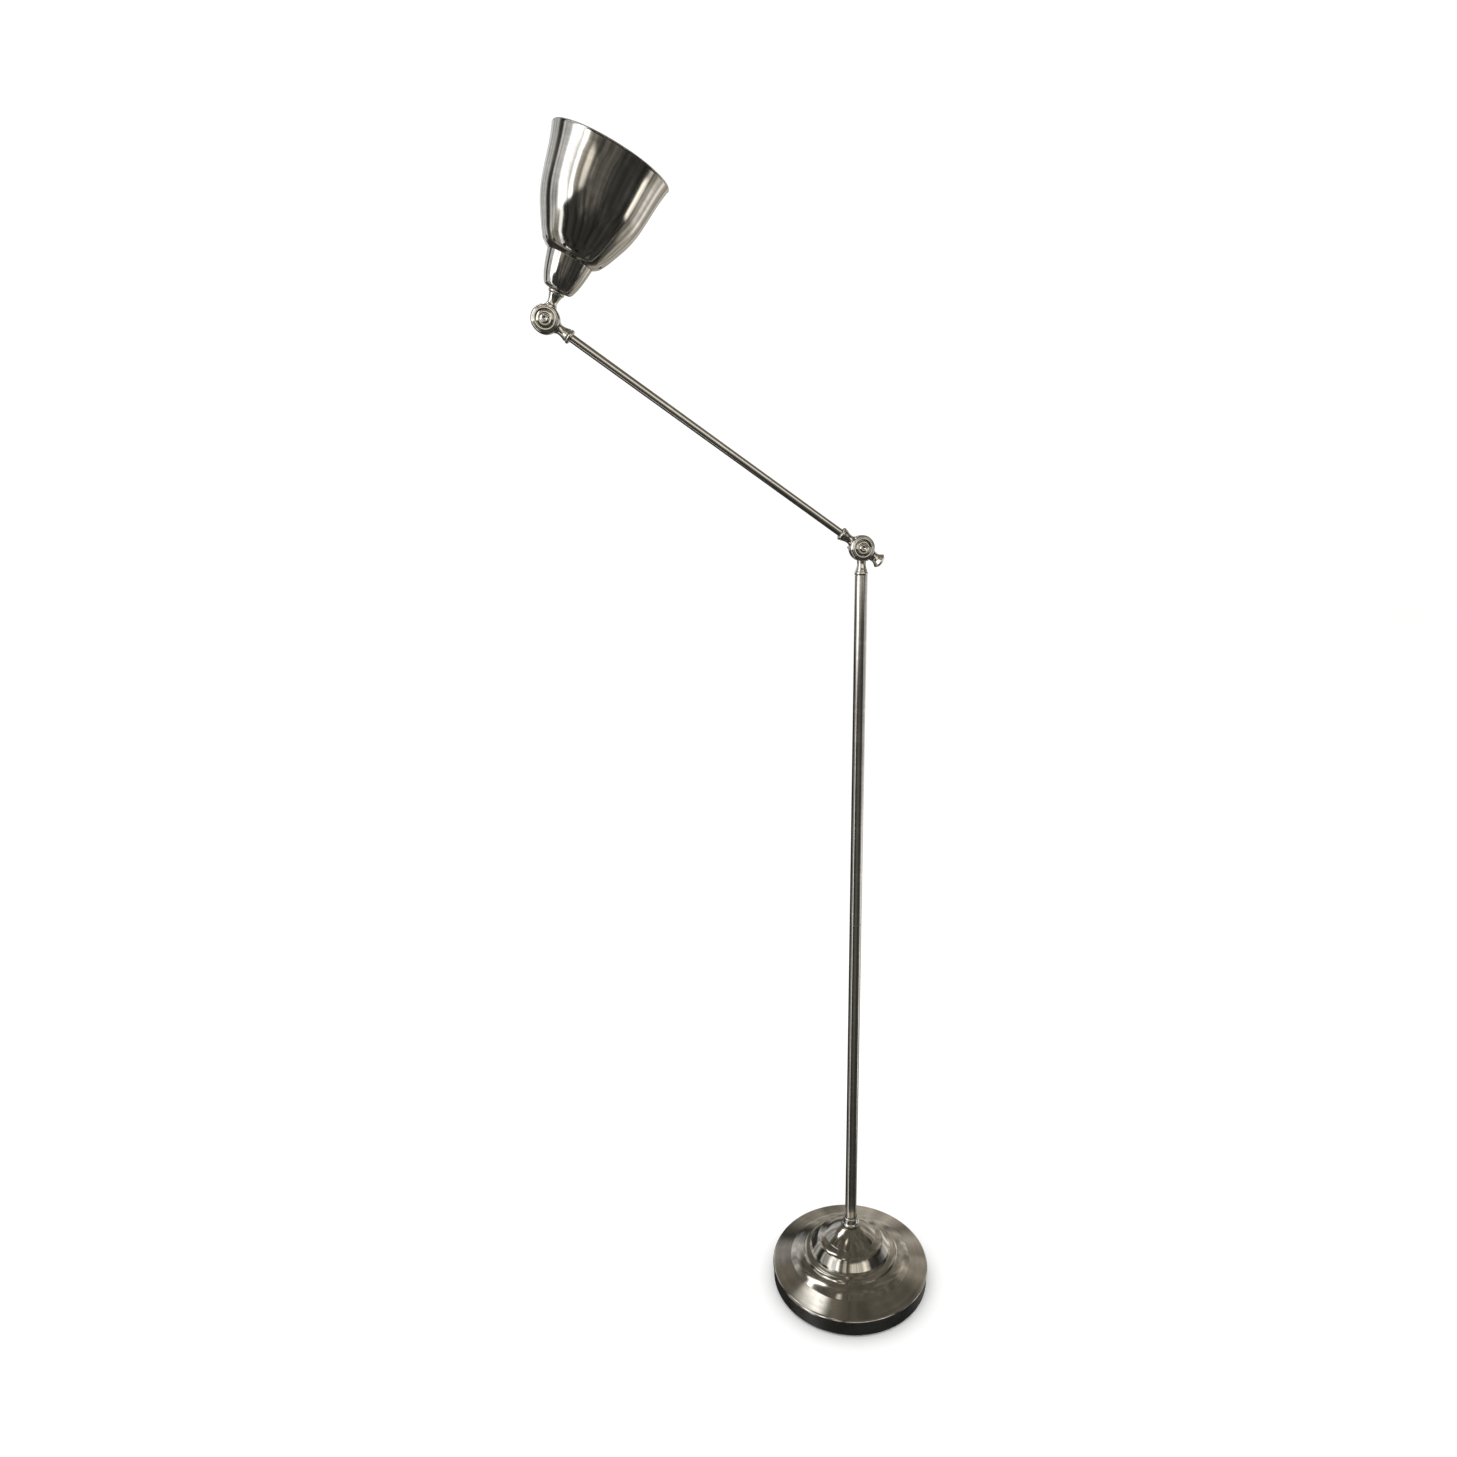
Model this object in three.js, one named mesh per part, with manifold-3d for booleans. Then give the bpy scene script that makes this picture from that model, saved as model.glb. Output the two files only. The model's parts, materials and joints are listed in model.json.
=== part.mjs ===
// Adjustable arm floor lamp: a weighted stepped base, a two-piece column, an elbow knuckle with a
// locking knob, a slim arm, a second knuckle and a bell shade on a socket cup.
// Millimetres, +Z up. The origin is the centre of the base's underside. The arm folds in the XZ plane
// and points towards -X. The elbow hinges about Y; the upper knuckle is set a few degrees round the arm
// from it, so the shade leans a little towards -Y. The knuckles' dimpled caps face -Y.
import * as THREE from 'three';
import { mergeVertices } from 'three/addons/utils/BufferGeometryUtils.js';
import Module from 'manifold-3d';

const wasm = await Module();
wasm.setup();

// ---------------------------------------------------------------- driving dimensions

const CLEARANCE = 0.3; // between pieces that touch on the real lamp
const SEGMENTS = { fine: 40, medium: 24, small: 16, tiny: 8 };

// Base
const PAD_THICKNESS = 1.5;
const PAD_INSET = 8; // the pad's edge from the weight's edge
const WEIGHT_RADIUS = 108.5;
const WEIGHT_TOP = 21;
const WEIGHT_CHAMFER = 1.5;
const NUT_RECESS_RADIUS = 17;
const NUT_RECESS_DEPTH = 24;
const HUB_WALL = 9; // of the weight's raised middle, around and over the recess
const COVER_WALL = 1;
const COVER_LIP = 3.5; // height of the upright edge that laps the weight
const COVER_EDGE_RISE = 3.6; // of the cover's edge above the weight's top
const INLET_RADIUS = 5; // cord inlet grommet, outside
const INLET_BORE = 2.6;
const INLET_FLANGE = 6.2;
const INLET_LENGTH = 12;

// The cover's rings, from the column outwards: radius and height of each crease and of each rolled shoulder
const COVER_RINGS = {
  crown: { radius: 14.5, height: 80.5 },
  coneFoot: { radius: 35.5, height: 65 },
  upperShoulder: { radius: 46.6, height: 59.6 },
  upperFoot: { radius: 57, height: 45.8 },
  lowerShoulder: { radius: 65.8, height: 42.6 },
  lowerFoot: { radius: 84, height: 32 },
};
const CONE_SWELL = 1.3; // of the cone, and of the slope below the lower shoulder, beyond a straight line
const UPPER_ROLL = 3; // size of each shoulder's rolled edge
const LOWER_ROLL = 2.2;
const CROWN_CHAMFER = 0.5;

// Column
const TIE_ROD_WALL = 1.6;
const TIE_NUT_RIM = 3.5; // from the rod to the nut's flats
const BASE_NUT_HEIGHT = 6;
const LOCK_WASHER_THICKNESS = 1.8;
const INSERT_WALL = 1.2; // of the threaded insert between the tie rod and the lower tube
const COLUMN_RADIUS = 8;
const COLUMN_WALL = 1.2;
const COLUMN_JOINT_HEIGHT = 533; // where the two tubes meet
const COUPLER_LENGTH = 56;
const COUPLER_BORE = 3;
const FOOT_COLLAR_FLANGE = 4.2; // beyond the column
const FOOT_COLLAR_HEIGHT = 13;
const FOOT_INSERT_LENGTH = 24;
const ELBOW_HEIGHT = 1028;

// Arm
const ARM_RADIUS = 4.75;
const ARM_WALL = 1;
const ARM_LENGTH = 448; // between the two hinge axes
const ARM_PITCH = THREE.MathUtils.degToRad(34); // above the horizontal
const KNUCKLE_TWIST = THREE.MathUtils.degToRad(7.4); // of the upper knuckle, round the arm from the elbow's
const SPIGOT_LENGTH = 14; // of a neck's end inside its tube

// Knuckles: distances from the hinge axis along a neck, and from the middle plane along the hinge axis
const DRUM_RADIUS = 16;
const DRUM_HALF = 8.2; // middle plane to the outer face
const DRUM_GAP = 0.7; // middle plane to each half's inner face
const DRUM_RIM = 5.7; // around the recess that holds the cap, and the nut or the bolt's head
const RECESS_DEPTH = 5.6;
const CAP_GROOVE = 0.9; // between the cap and the recess
const CAP_RISE = 1.4; // of the cap's dome above the drum's face
const CAP_WALL = 0.9;
const CAP_DIMPLE_RADIUS = 2.5;
const CAP_DIMPLE_DEPTH = 1.3;
const PIVOT_RADIUS = 3;
const PIVOT_HEAD_RADIUS = 5;
const PIVOT_HEAD_HEIGHT = 3.2;
const NUT_ACROSS_FLATS = 10;
const NUT_HEIGHT = 2.2;
const NECK_WAIST = 5.4;
const NECK_MOUTH = 7.7;
const NECK_RISE = 12.4; // drum's rim to the neck's end face
const COLLAR_RADIUS = 8.6;
const COLLAR_THICKNESS = 4.6;
const WIRE_RADIUS = 1.9;
const WIRE_BORE = 2.3;
const STOP_ANGLE = { lowering: 31, raising: 27 }; // of the stop ears, from the arm's line and from its back
const STOP_EAR_RADIUS = 1.5;
const DRUM_SHOULDER = 3.6; // from the drum's outer face to where its rim starts to step in

// Locking knob
const KNOB_BOSS_RISE = 3.4; // drum's rim to the boss's end face
const KNOB_BOSS_RADIUS = 6.2;
const KNOB_LENGTH = 13;
const KNOB_FLARE = 8; // from the knob's near end to its rim
const KNOB_SCREW_DEPTH = 6; // of the screw's hole in the knob
const KNOB_RIM = 9.8;
const KNOB_SCREW_RADIUS = 2;

// Head: distances along the shade's axis from the tilt axis
const SHADE_TILT = THREE.MathUtils.degToRad(25); // from the vertical, towards +X
const HEAD_RING_RADIUS = 9.4;
const HEAD_RING_THICKNESS = 4.2;
const NIPPLE_RADIUS = 4;
const NIPPLE_BORE = 2.4;
const NIPPLE_LENGTH = 24;
const CUP_BASE_ROOM = 3.6; // around the lampholder's foot
const CUP_MOUTH_ROOM = 7.3; // around the lampholder
const CUP_HEIGHT = 35.5;
const CUP_WALL = 1;
const SHADE_HEIGHT = 113;
const SHADE_WALL = 0.9;
const SHADE_RIM_RADIUS = 66;
const SHADE_SPREAD = [ // share of the height, share of the way from the cup's mouth to the rim
  [0.05, 0.2],
  [0.165, 0.37],
  [0.33, 0.6],
  [0.5, 0.755],
  [0.665, 0.835],
  [0.83, 0.91],
  [1, 1],
];
const RIM_BEAD_RADIUS = 1.3;
const VENT_COUNT = 16;
const VENT_RADIUS = 2.1;
const VENT_RISE = 6.5; // of the vents above the shade's foot, along the axis
const HOLDER_WALL = 3.2;
const HOLDER_TAPER = 5; // of the lampholder's radius towards its foot
const SHADE_RING_WIDTH = 4.3;
const SHADE_RING_THICKNESS = 4;
const SHELL_WALL = 0.6;
const SHELL_THREAD = 1.3; // room between the bulb's cap and the screw shell
const SOCKET_DEPTH = 24;
const BULB_RADIUS = 27;
const BULB_LENGTH = 100; // contact to crown
const BULB_CAP_RADIUS = 13;
const BULB_WALL = 1;

// ---------------------------------------------------------------- sizes that follow

const neckLength = DRUM_RADIUS + NECK_RISE; // hinge axis to a neck's end face
const recessRadius = DRUM_RADIUS - DRUM_RIM;
const recessFloor = DRUM_HALF - RECESS_DEPTH; // from the middle plane
const capRadius = recessRadius - CAP_GROOVE;
const capCrown = DRUM_HALF + CAP_RISE;
const knobBossEnd = DRUM_RADIUS + KNOB_BOSS_RISE;
const shellInner = BULB_CAP_RADIUS + SHELL_THREAD;
const shellOuter = shellInner + SHELL_WALL;
const socketRadius = shellOuter + CLEARANCE;
const holderRadius = socketRadius + HOLDER_WALL;
const cupBaseRadius = holderRadius - HOLDER_TAPER + CUP_BASE_ROOM;
const cupMouthRadius = holderRadius + CUP_MOUTH_ROOM;

// ---------------------------------------------------------------- finishes

const nickel = { color: 0x9a948a, roughness: 0.2, metalness: 1 };
const brightNickel = { color: 0xb9b3a6, roughness: 0.14, metalness: 1 };
const darkNickel = { color: 0x6e6a63, roughness: 0.22, metalness: 1 };
const steel = { color: 0x8c8e90, roughness: 0.4, metalness: 1 };
const brass = { color: 0xb08d4a, roughness: 0.35, metalness: 1 };
const blackPaint = { color: 0x1c1c1a, roughness: 0.45, metalness: 0.1 };
const rubber = { color: 0x151515, roughness: 0.85, metalness: 0 };
const felt = { color: 0x24241f, roughness: 0.95, metalness: 0 };
const phenolic = { color: 0x1a1715, roughness: 0.4, metalness: 0 };
const opalGlass = { color: 0xf2efe6, roughness: 0.25, metalness: 0 };

// ---------------------------------------------------------------- solid helpers

// A closed geometry as a solid: shared vertices merged, slivers dropped, faces pointing out.
function solidOf(geometry) {
  const bare = geometry.clone();
  bare.deleteAttribute('normal');
  bare.deleteAttribute('uv');
  const merged = mergeVertices(bare, 1e-4);
  const corners = merged.index.array;
  const place = merged.attributes.position.array;
  const triangles = [];
  let volume = 0;
  for (let i = 0; i < corners.length; i += 3) {
    const [a, b, c] = [corners[i], corners[i + 1], corners[i + 2]];
    if (a === b || b === c || c === a) continue;
    triangles.push([a, b, c]);
    const [u, v, w] = [a, b, c].map((n) => new THREE.Vector3().fromArray(place, 3 * n));
    volume += u.dot(v.cross(w));
  }
  const outward = triangles.map(([a, b, c]) => (volume > 0 ? [a, b, c] : [a, c, b]));
  return new wasm.Manifold(new wasm.Mesh({
    numProp: 3,
    vertProperties: new Float32Array(place),
    triVerts: Uint32Array.from(outward.flat()),
  }));
}

function geometryOf(solid) {
  const mesh = solid.getMesh();
  const geometry = new THREE.BufferGeometry();
  geometry.setAttribute('position', new THREE.BufferAttribute(new Float32Array(mesh.vertProperties), 3));
  geometry.setIndex(new THREE.BufferAttribute(new Uint32Array(mesh.triVerts), 1));
  geometry.computeVertexNormals();
  return geometry;
}

// A profile of [radius, height] points turned about Z. It starts and ends on the axis or closes on itself.
function turnedGeometry(profile, segments = SEGMENTS.medium) {
  const points = profile.map(([radius, height]) => new THREE.Vector2(radius, height));
  return new THREE.LatheGeometry(points, segments).rotateX(Math.PI / 2);
}

const turned = (profile, segments) => solidOf(turnedGeometry(profile, segments));
const closed = (profile) => [...profile, profile[0]];

const rod = (radius, low, high, segments = SEGMENTS.small) =>
  turned([[0, low], [radius, low], [radius, high], [0, high]], segments);

const sleeve = (outer, inner, low, high, segments = SEGMENTS.medium) =>
  turned(closed([[outer, low], [outer, high], [inner, high], [inner, low]]), segments);

// The same shapes with their axis along Y; a height in the profile runs towards `side` (-1 front, +1 rear).
function acrossHinge(profile, side, segments = SEGMENTS.medium) {
  return solidOf(turnedGeometry(profile, segments).rotateX(side < 0 ? Math.PI / 2 : -Math.PI / 2));
}

// A hexagonal nut along Z with a round hole.
function hexNut(acrossFlats, bore, low, high) {
  const outline = new THREE.Shape();
  const cornerRadius = acrossFlats / Math.sqrt(3);
  for (let corner = 0; corner < 6; corner += 1) {
    const angle = (corner * Math.PI) / 3;
    const point = [cornerRadius * Math.cos(angle), cornerRadius * Math.sin(angle)];
    if (corner === 0) outline.moveTo(...point);
    else outline.lineTo(...point);
  }
  const body = new THREE.ExtrudeGeometry(outline, { depth: high - low, bevelEnabled: false });
  return solidOf(body.translate(0, 0, low)).subtract(rod(bore, low - 1, high + 1));
}

// Points of an arc in a profile, about [radius, height], from one angle to another in degrees.
function arc([radius, height], size, from, to, steps) {
  return Array.from({ length: steps + 1 }, (_, step) => {
    const angle = THREE.MathUtils.degToRad(from + ((to - from) * step) / steps);
    return [radius + size * Math.cos(angle), height + size * Math.sin(angle)];
  });
}

// The profile moved sideways by a wall's thickness, to the left of its direction.
function offsetProfile(profile, distance) {
  return profile.map((point, index) => {
    const before = profile[Math.max(index - 1, 0)];
    const after = profile[Math.min(index + 1, profile.length - 1)];
    const along = new THREE.Vector2(after[0] - before[0], after[1] - before[1]).normalize();
    return [point[0] - along.y * distance, point[1] + along.x * distance];
  });
}

// A smooth curve through profile points.
function smooth(points, steps) {
  const curve = new THREE.SplineCurve(points.map(([radius, height]) => new THREE.Vector2(radius, height)));
  return curve.getPoints(steps).map((point) => [point.x, point.y]);
}

function piece(name, solid, finish) {
  const mesh = new THREE.Mesh(geometryOf(solid), new THREE.MeshStandardMaterial(finish));
  mesh.name = name;
  return mesh;
}

function assembly(...children) {
  const group = new THREE.Group();
  group.add(...children);
  return group;
}

// ---------------------------------------------------------------- base

const columnBore = COLUMN_RADIUS - COLUMN_WALL;
const plugRadius = columnBore - CLEARANCE;
const tieRodRadius = plugRadius - INSERT_WALL - CLEARANCE;
const tieRodHole = tieRodRadius + CLEARANCE;

const weightBottom = PAD_THICKNESS + CLEARANCE;
const inletHeight = weightBottom + INLET_FLANGE + CLEARANCE;
const recessTop = weightBottom + NUT_RECESS_DEPTH;
const hubRadius = NUT_RECESS_RADIUS + HUB_WALL;
const hubTop = recessTop + HUB_WALL;
const crown = COVER_RINGS.crown;
const crownTop = crown.height + CROWN_CHAMFER;
const coverRadius = WEIGHT_RADIUS + CLEARANCE + COVER_WALL;
const coverEdge = WEIGHT_TOP + COVER_EDGE_RISE;

function basePad() {
  return rod(WEIGHT_RADIUS - PAD_INSET, 0, PAD_THICKNESS, SEGMENTS.fine);
}

function baseWeight() {
  const body = turned([
    [0, weightBottom],
    [WEIGHT_RADIUS - WEIGHT_CHAMFER, weightBottom],
    [WEIGHT_RADIUS, weightBottom + WEIGHT_CHAMFER],
    [WEIGHT_RADIUS, WEIGHT_TOP],
    [hubRadius, WEIGHT_TOP],
    [hubRadius, hubTop],
    [0, hubTop],
  ], SEGMENTS.fine);
  const recess = rod(NUT_RECESS_RADIUS, weightBottom - 1, recessTop);
  const rodHole = rod(tieRodHole, recessTop - 1, hubTop + 1);
  const channel = solidOf(
    new THREE.BoxGeometry(2 * WIRE_BORE, WEIGHT_RADIUS - INLET_LENGTH, inletHeight + WIRE_BORE)
      .translate(0, (WEIGHT_RADIUS - INLET_LENGTH) / 2, (inletHeight + WIRE_BORE) / 2),
  );
  const inletHole = alongInlet(rod(INLET_RADIUS + CLEARANCE, -INLET_LENGTH - 1, 1));
  return body.subtract(recess).subtract(rodHole).subtract(channel).subtract(inletHole);
}

// A piece modelled along Z, turned to run out through the inlet, with z = 0 at the weight's wall.
const alongInlet = (solid) => solid.rotate([-90, 0, 0]).translate([0, WEIGHT_RADIUS, inletHeight]);

function cordInlet() {
  const flange = coverRadius - WEIGHT_RADIUS;
  return alongInlet(turned(closed([
    [INLET_RADIUS, -INLET_LENGTH],
    [INLET_RADIUS, CLEARANCE],
    [INLET_FLANGE, CLEARANCE],
    [INLET_FLANGE, flange - CLEARANCE],
    [INLET_BORE, flange - CLEARANCE],
    [INLET_BORE, -INLET_LENGTH],
  ]), SEGMENTS.small));
}

// The middle of a stretch between two rings, swollen outwards by `swell`.
function swollenMiddle(from, to, swell) {
  const start = new THREE.Vector2(from.radius, from.height);
  const along = new THREE.Vector2(to.radius, to.height).sub(start);
  const out = new THREE.Vector2(-along.y, along.x).normalize().multiplyScalar(swell);
  return start.addScaledVector(along, 0.5).add(out).toArray();
}

// A rolled shoulder: from nearly level, round its edge, to the steep wall below.
function rolledShoulder({ radius, height }, roll) {
  return [
    [radius - 1.5 * roll, height + 0.95 * roll],
    [radius - 0.4 * roll, height + 0.35 * roll],
    [radius + 0.4 * roll, height - 0.6 * roll],
  ];
}

function baseCover() {
  const { coneFoot, upperShoulder, upperFoot, lowerShoulder, lowerFoot } = COVER_RINGS;
  const at = ({ radius, height }, outward = 0, up = 0) => [radius + outward, height + up];
  const outside = [
    [tieRodHole, crownTop],
    at(crown, -1.5, CROWN_CHAMFER),
    at(crown),
    swollenMiddle(crown, coneFoot, CONE_SWELL),
    at(coneFoot),
    ...rolledShoulder(upperShoulder, UPPER_ROLL),
    at(upperFoot, -2.6, 2.6),
    at(upperFoot),
    ...rolledShoulder(lowerShoulder, LOWER_ROLL),
    swollenMiddle(lowerShoulder, lowerFoot, CONE_SWELL / 2),
    at(lowerFoot),
    [coverRadius - 1.4, coverEdge + 0.4],
    [coverRadius, coverEdge - 1],
  ];
  const inside = offsetProfile(outside, -COVER_WALL).slice(1, -1);
  const lipBottom = coverEdge - COVER_LIP;
  return turned(closed([
    ...outside,
    [coverRadius, lipBottom],
    [coverRadius - COVER_WALL, lipBottom],
    [coverRadius - COVER_WALL, coverEdge - 1.4],
    ...inside.reverse(),
    [tieRodHole, crownTop - COVER_WALL],
  ]), SEGMENTS.fine);
}

const columnFoot = crownTop + CLEARANCE; // where the foot collar sits on the cover
const tubeFoot = columnFoot + 5; // the lower tube's end inside the collar

function footCollar() {
  const bore = COLUMN_RADIUS + CLEARANCE;
  const flange = COLUMN_RADIUS + FOOT_COLLAR_FLANGE;
  const mouth = columnFoot + FOOT_COLLAR_HEIGHT;
  return turned(closed([
    [tieRodHole, columnFoot],
    [flange - 1, columnFoot],
    [flange, columnFoot + 1],
    [flange, columnFoot + 3.4],
    [COLUMN_RADIUS + 2.9, columnFoot + 5],
    [COLUMN_RADIUS + 2.2, mouth - 3],
    [COLUMN_RADIUS + 2.4, mouth - 0.9],
    [COLUMN_RADIUS + 1.8, mouth],
    [bore, mouth],
    [bore, tubeFoot - CLEARANCE],
    [tieRodHole, tubeFoot - CLEARANCE],
  ]));
}

// The tie rod runs from its nut under the weight to the insert in the lower tube.
const washerBottom = recessTop - CLEARANCE - LOCK_WASHER_THICKNESS;
const baseNutTop = washerBottom - CLEARANCE;
const baseNutBottom = baseNutTop - BASE_NUT_HEIGHT;
const tieRodBottom = baseNutBottom - 1.5;
const tieRodTop = tubeFoot + FOOT_INSERT_LENGTH - 2;
const tieNutRadius = tieRodRadius + TIE_NUT_RIM;

const tieRodBore = tieRodRadius - TIE_ROD_WALL;

const tieRod = () => sleeve(tieRodRadius, tieRodBore, tieRodBottom, tieRodTop, SEGMENTS.small);
const lockWasher = () => sleeve(tieNutRadius + 1.5, tieRodHole, washerBottom, recessTop - CLEARANCE,
  SEGMENTS.small);

const baseHardware = assembly(
  piece('base_pad', basePad(), felt),
  piece('base_weight', baseWeight(), blackPaint),
  piece('cord_inlet', cordInlet(), rubber),
  piece('base_cover', baseCover(), nickel),
  piece('tie_rod', tieRod(), steel),
  piece('base_lock_washer', lockWasher(), steel),
  piece('base_nut', hexNut(2 * tieNutRadius, tieRodHole, baseNutBottom, baseNutTop), steel),
  piece('foot_collar', footCollar(), darkNickel),
);

// ---------------------------------------------------------------- column

const collarNear = neckLength + CLEARANCE;
const tubeStart = collarNear + COLLAR_THICKNESS + CLEARANCE; // from a hinge axis to its tube's end
const upperTubeTop = ELBOW_HEIGHT - tubeStart;
const wireEnd = DRUM_RADIUS + 4; // where each wire stops, from a hinge axis

const columnTube = (low, high) => sleeve(COLUMN_RADIUS, columnBore, low, high);
const columnPlug = (bore, low, high) => sleeve(plugRadius, bore, low, high, SEGMENTS.small);

// The wire runs in from the inlet under the weight and up the middle of the column.
function columnWire() {
  const level = rod(WIRE_RADIUS, 0, WEIGHT_RADIUS - INLET_LENGTH - 1, SEGMENTS.tiny)
    .rotate([-90, 0, 0])
    .translate([0, 0, inletHeight]);
  const upright = rod(WIRE_RADIUS, inletHeight - 1, ELBOW_HEIGHT - wireEnd, SEGMENTS.tiny);
  return level.add(upright);
}

const couplerReach = COUPLER_LENGTH / 2;
const tubeGap = CLEARANCE / 2; // either side of the joint

const columnPieces = assembly(
  piece('foot_insert', columnPlug(tieRodHole, tubeFoot + 0.5, tubeFoot + FOOT_INSERT_LENGTH), steel),
  piece('lower_column', columnTube(tubeFoot, COLUMN_JOINT_HEIGHT - tubeGap), nickel),
  piece('column_coupler', columnPlug(COUPLER_BORE, COLUMN_JOINT_HEIGHT - couplerReach,
    COLUMN_JOINT_HEIGHT + couplerReach), steel),
  piece('upper_column', columnTube(COLUMN_JOINT_HEIGHT + tubeGap, upperTubeTop), nickel),
  piece('column_wire', columnWire(), rubber),
);

// ---------------------------------------------------------------- knuckles

// The room that the other half of a knuckle turns in.
function otherHalfRoom(side) {
  const reach = DRUM_RADIUS + 0.5;
  const depth = DRUM_HALF + 4;
  return acrossHinge([[0, -DRUM_GAP], [reach, -DRUM_GAP], [reach, depth], [0, depth]], -side);
}

const rootHeight = recessRadius + 2.5; // where a neck or boss starts inside its drum
const nippleFoot = neckLength - 5.4; // the nipple's end inside the head's neck

// Half of a knuckle: a drum half on one side of the middle plane, and a trumpet neck along +Z.
// `side` is -1 for the front half and +1 for the rear half; `spigot` is the radius of the neck's end
// in its tube.
function knuckleHalf(side, { mouth = NECK_MOUTH, spigot = 0, nippleHole = 0 } = {}) {
  const drum = acrossHinge(closed([
    [PIVOT_RADIUS + CLEARANCE, DRUM_GAP],
    [DRUM_RADIUS, DRUM_GAP],
    [DRUM_RADIUS, DRUM_HALF - DRUM_SHOULDER],
    [DRUM_RADIUS - 2.6, DRUM_HALF - 1],
    [recessRadius + 1.6, DRUM_HALF],
    [recessRadius, DRUM_HALF],
    [recessRadius, recessFloor],
    [PIVOT_RADIUS + CLEARANCE, recessFloor],
  ]), side);
  const neck = turned([
    [0, rootHeight],
    [NECK_WAIST + 0.5, rootHeight],
    [NECK_WAIST, DRUM_RADIUS + 1.5],
    [NECK_WAIST + 0.3, neckLength - 6.5],
    [NECK_WAIST + 1.1, neckLength - 3.5],
    [mouth, neckLength],
    [0, neckLength],
  ], SEGMENTS.small);
  const spigotEnd = tubeStart + SPIGOT_LENGTH;
  let half = drum.add(neck.subtract(otherHalfRoom(side)));
  if (spigot) half = half.add(rod(spigot, neckLength - 1, spigotEnd));
  half = half.subtract(rod(WIRE_BORE, DRUM_RADIUS - 2, spigotEnd + 1, SEGMENTS.tiny));
  if (nippleHole) half = half.subtract(rod(nippleHole, nippleFoot - 0.6, neckLength + 1));
  return half;
}

// A ring bead between a neck and its tube.
function neckCollar(radius, bore, thickness = COLLAR_THICKNESS) {
  const half = thickness / 2;
  const bulge = Math.min(half, 0.6 * (radius - bore));
  return turned(closed([
    [bore, collarNear],
    ...arc([0, 0], 1, -90, 90, 4)
      .map(([out, up]) => [radius + (out - 1) * bulge, collarNear + (1 + up) * half]),
    [bore, collarNear + thickness],
  ]));
}

// The dimpled cap that closes a drum's recess: a domed shell, open towards the middle plane.
function drumCap(side) {
  const rimHeight = DRUM_HALF - 0.4;
  const capFootHeight = recessFloor + CLEARANCE;
  return acrossHinge([
    [0, capCrown - CAP_DIMPLE_DEPTH],
    [CAP_DIMPLE_RADIUS * 0.4, capCrown - CAP_DIMPLE_DEPTH],
    [CAP_DIMPLE_RADIUS, capCrown - 0.2],
    [CAP_DIMPLE_RADIUS + 1, capCrown],
    [6.6, capCrown - 0.7],
    [capRadius, rimHeight],
    [capRadius, capFootHeight],
    [capRadius - CAP_WALL, capFootHeight],
    [capRadius - CAP_WALL, rimHeight - 1],
    [0, capCrown - CAP_DIMPLE_DEPTH - 0.8],
  ], side);
}

// The bolt's head is in the rear recess and its nut in the front one.
const pivotHeadTop = recessFloor + CLEARANCE + PIVOT_HEAD_HEIGHT;
const springWasherTop = recessFloor + CLEARANCE + 1.2;
const pivotNutTop = springWasherTop + CLEARANCE + NUT_HEIGHT;

function pivotBolt() {
  return acrossHinge([
    [0, -pivotHeadTop],
    [PIVOT_HEAD_RADIUS - 0.5, -pivotHeadTop],
    [PIVOT_HEAD_RADIUS, 0.5 - pivotHeadTop],
    [PIVOT_HEAD_RADIUS, -recessFloor - CLEARANCE],
    [PIVOT_RADIUS, -recessFloor - CLEARANCE],
    [PIVOT_RADIUS, pivotNutTop + 0.3],
    [0, pivotNutTop + 0.3],
  ], -1, SEGMENTS.small);
}

// What a knuckle holds besides its two halves and its rear cap.
function knuckleHardware(name) {
  const bore = PIVOT_RADIUS + CLEARANCE;
  const ring = (outer, low, high) =>
    acrossHinge(closed([[outer, low], [outer, high], [bore, high], [bore, low]]), -1, SEGMENTS.small);
  const washerReach = DRUM_GAP - CLEARANCE;
  const nut = hexNut(NUT_ACROSS_FLATS, bore, springWasherTop + CLEARANCE, pivotNutTop).rotate([90, 0, 0]);
  return [
    piece(`${name}_pivot_bolt`, pivotBolt(), steel),
    piece(`${name}_friction_washer`, ring(DRUM_RADIUS - 3, -washerReach, washerReach), phenolic),
    piece(`${name}_spring_washer`, ring(5.5, recessFloor + CLEARANCE, springWasherTop), steel),
    piece(`${name}_nut`, nut, steel),
    piece(`${name}_front_cap`, drumCap(-1), brightNickel),
  ];
}

// ---------------------------------------------------------------- elbow, column side

const spigotRadius = (tubeBore) => tubeBore - CLEARANCE;
const armBore = ARM_RADIUS - ARM_WALL;

// The column's half points down, so its frame is turned over about Y.
const elbowColumnSide = assembly(
  piece('elbow_column_half', knuckleHalf(-1, {
    mouth: COLUMN_RADIUS - CLEARANCE,
    spigot: spigotRadius(columnBore),
  }), brightNickel),
  piece('column_top_collar', neckCollar(COLUMN_RADIUS + 0.7, columnBore), brightNickel),
  ...knuckleHardware('elbow'),
);
elbowColumnSide.position.set(0, 0, ELBOW_HEIGHT);
elbowColumnSide.rotation.set(0, Math.PI, 0);

// ------------------------------------------------------------ arm: +Z runs from the elbow to the tilt axis

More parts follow.
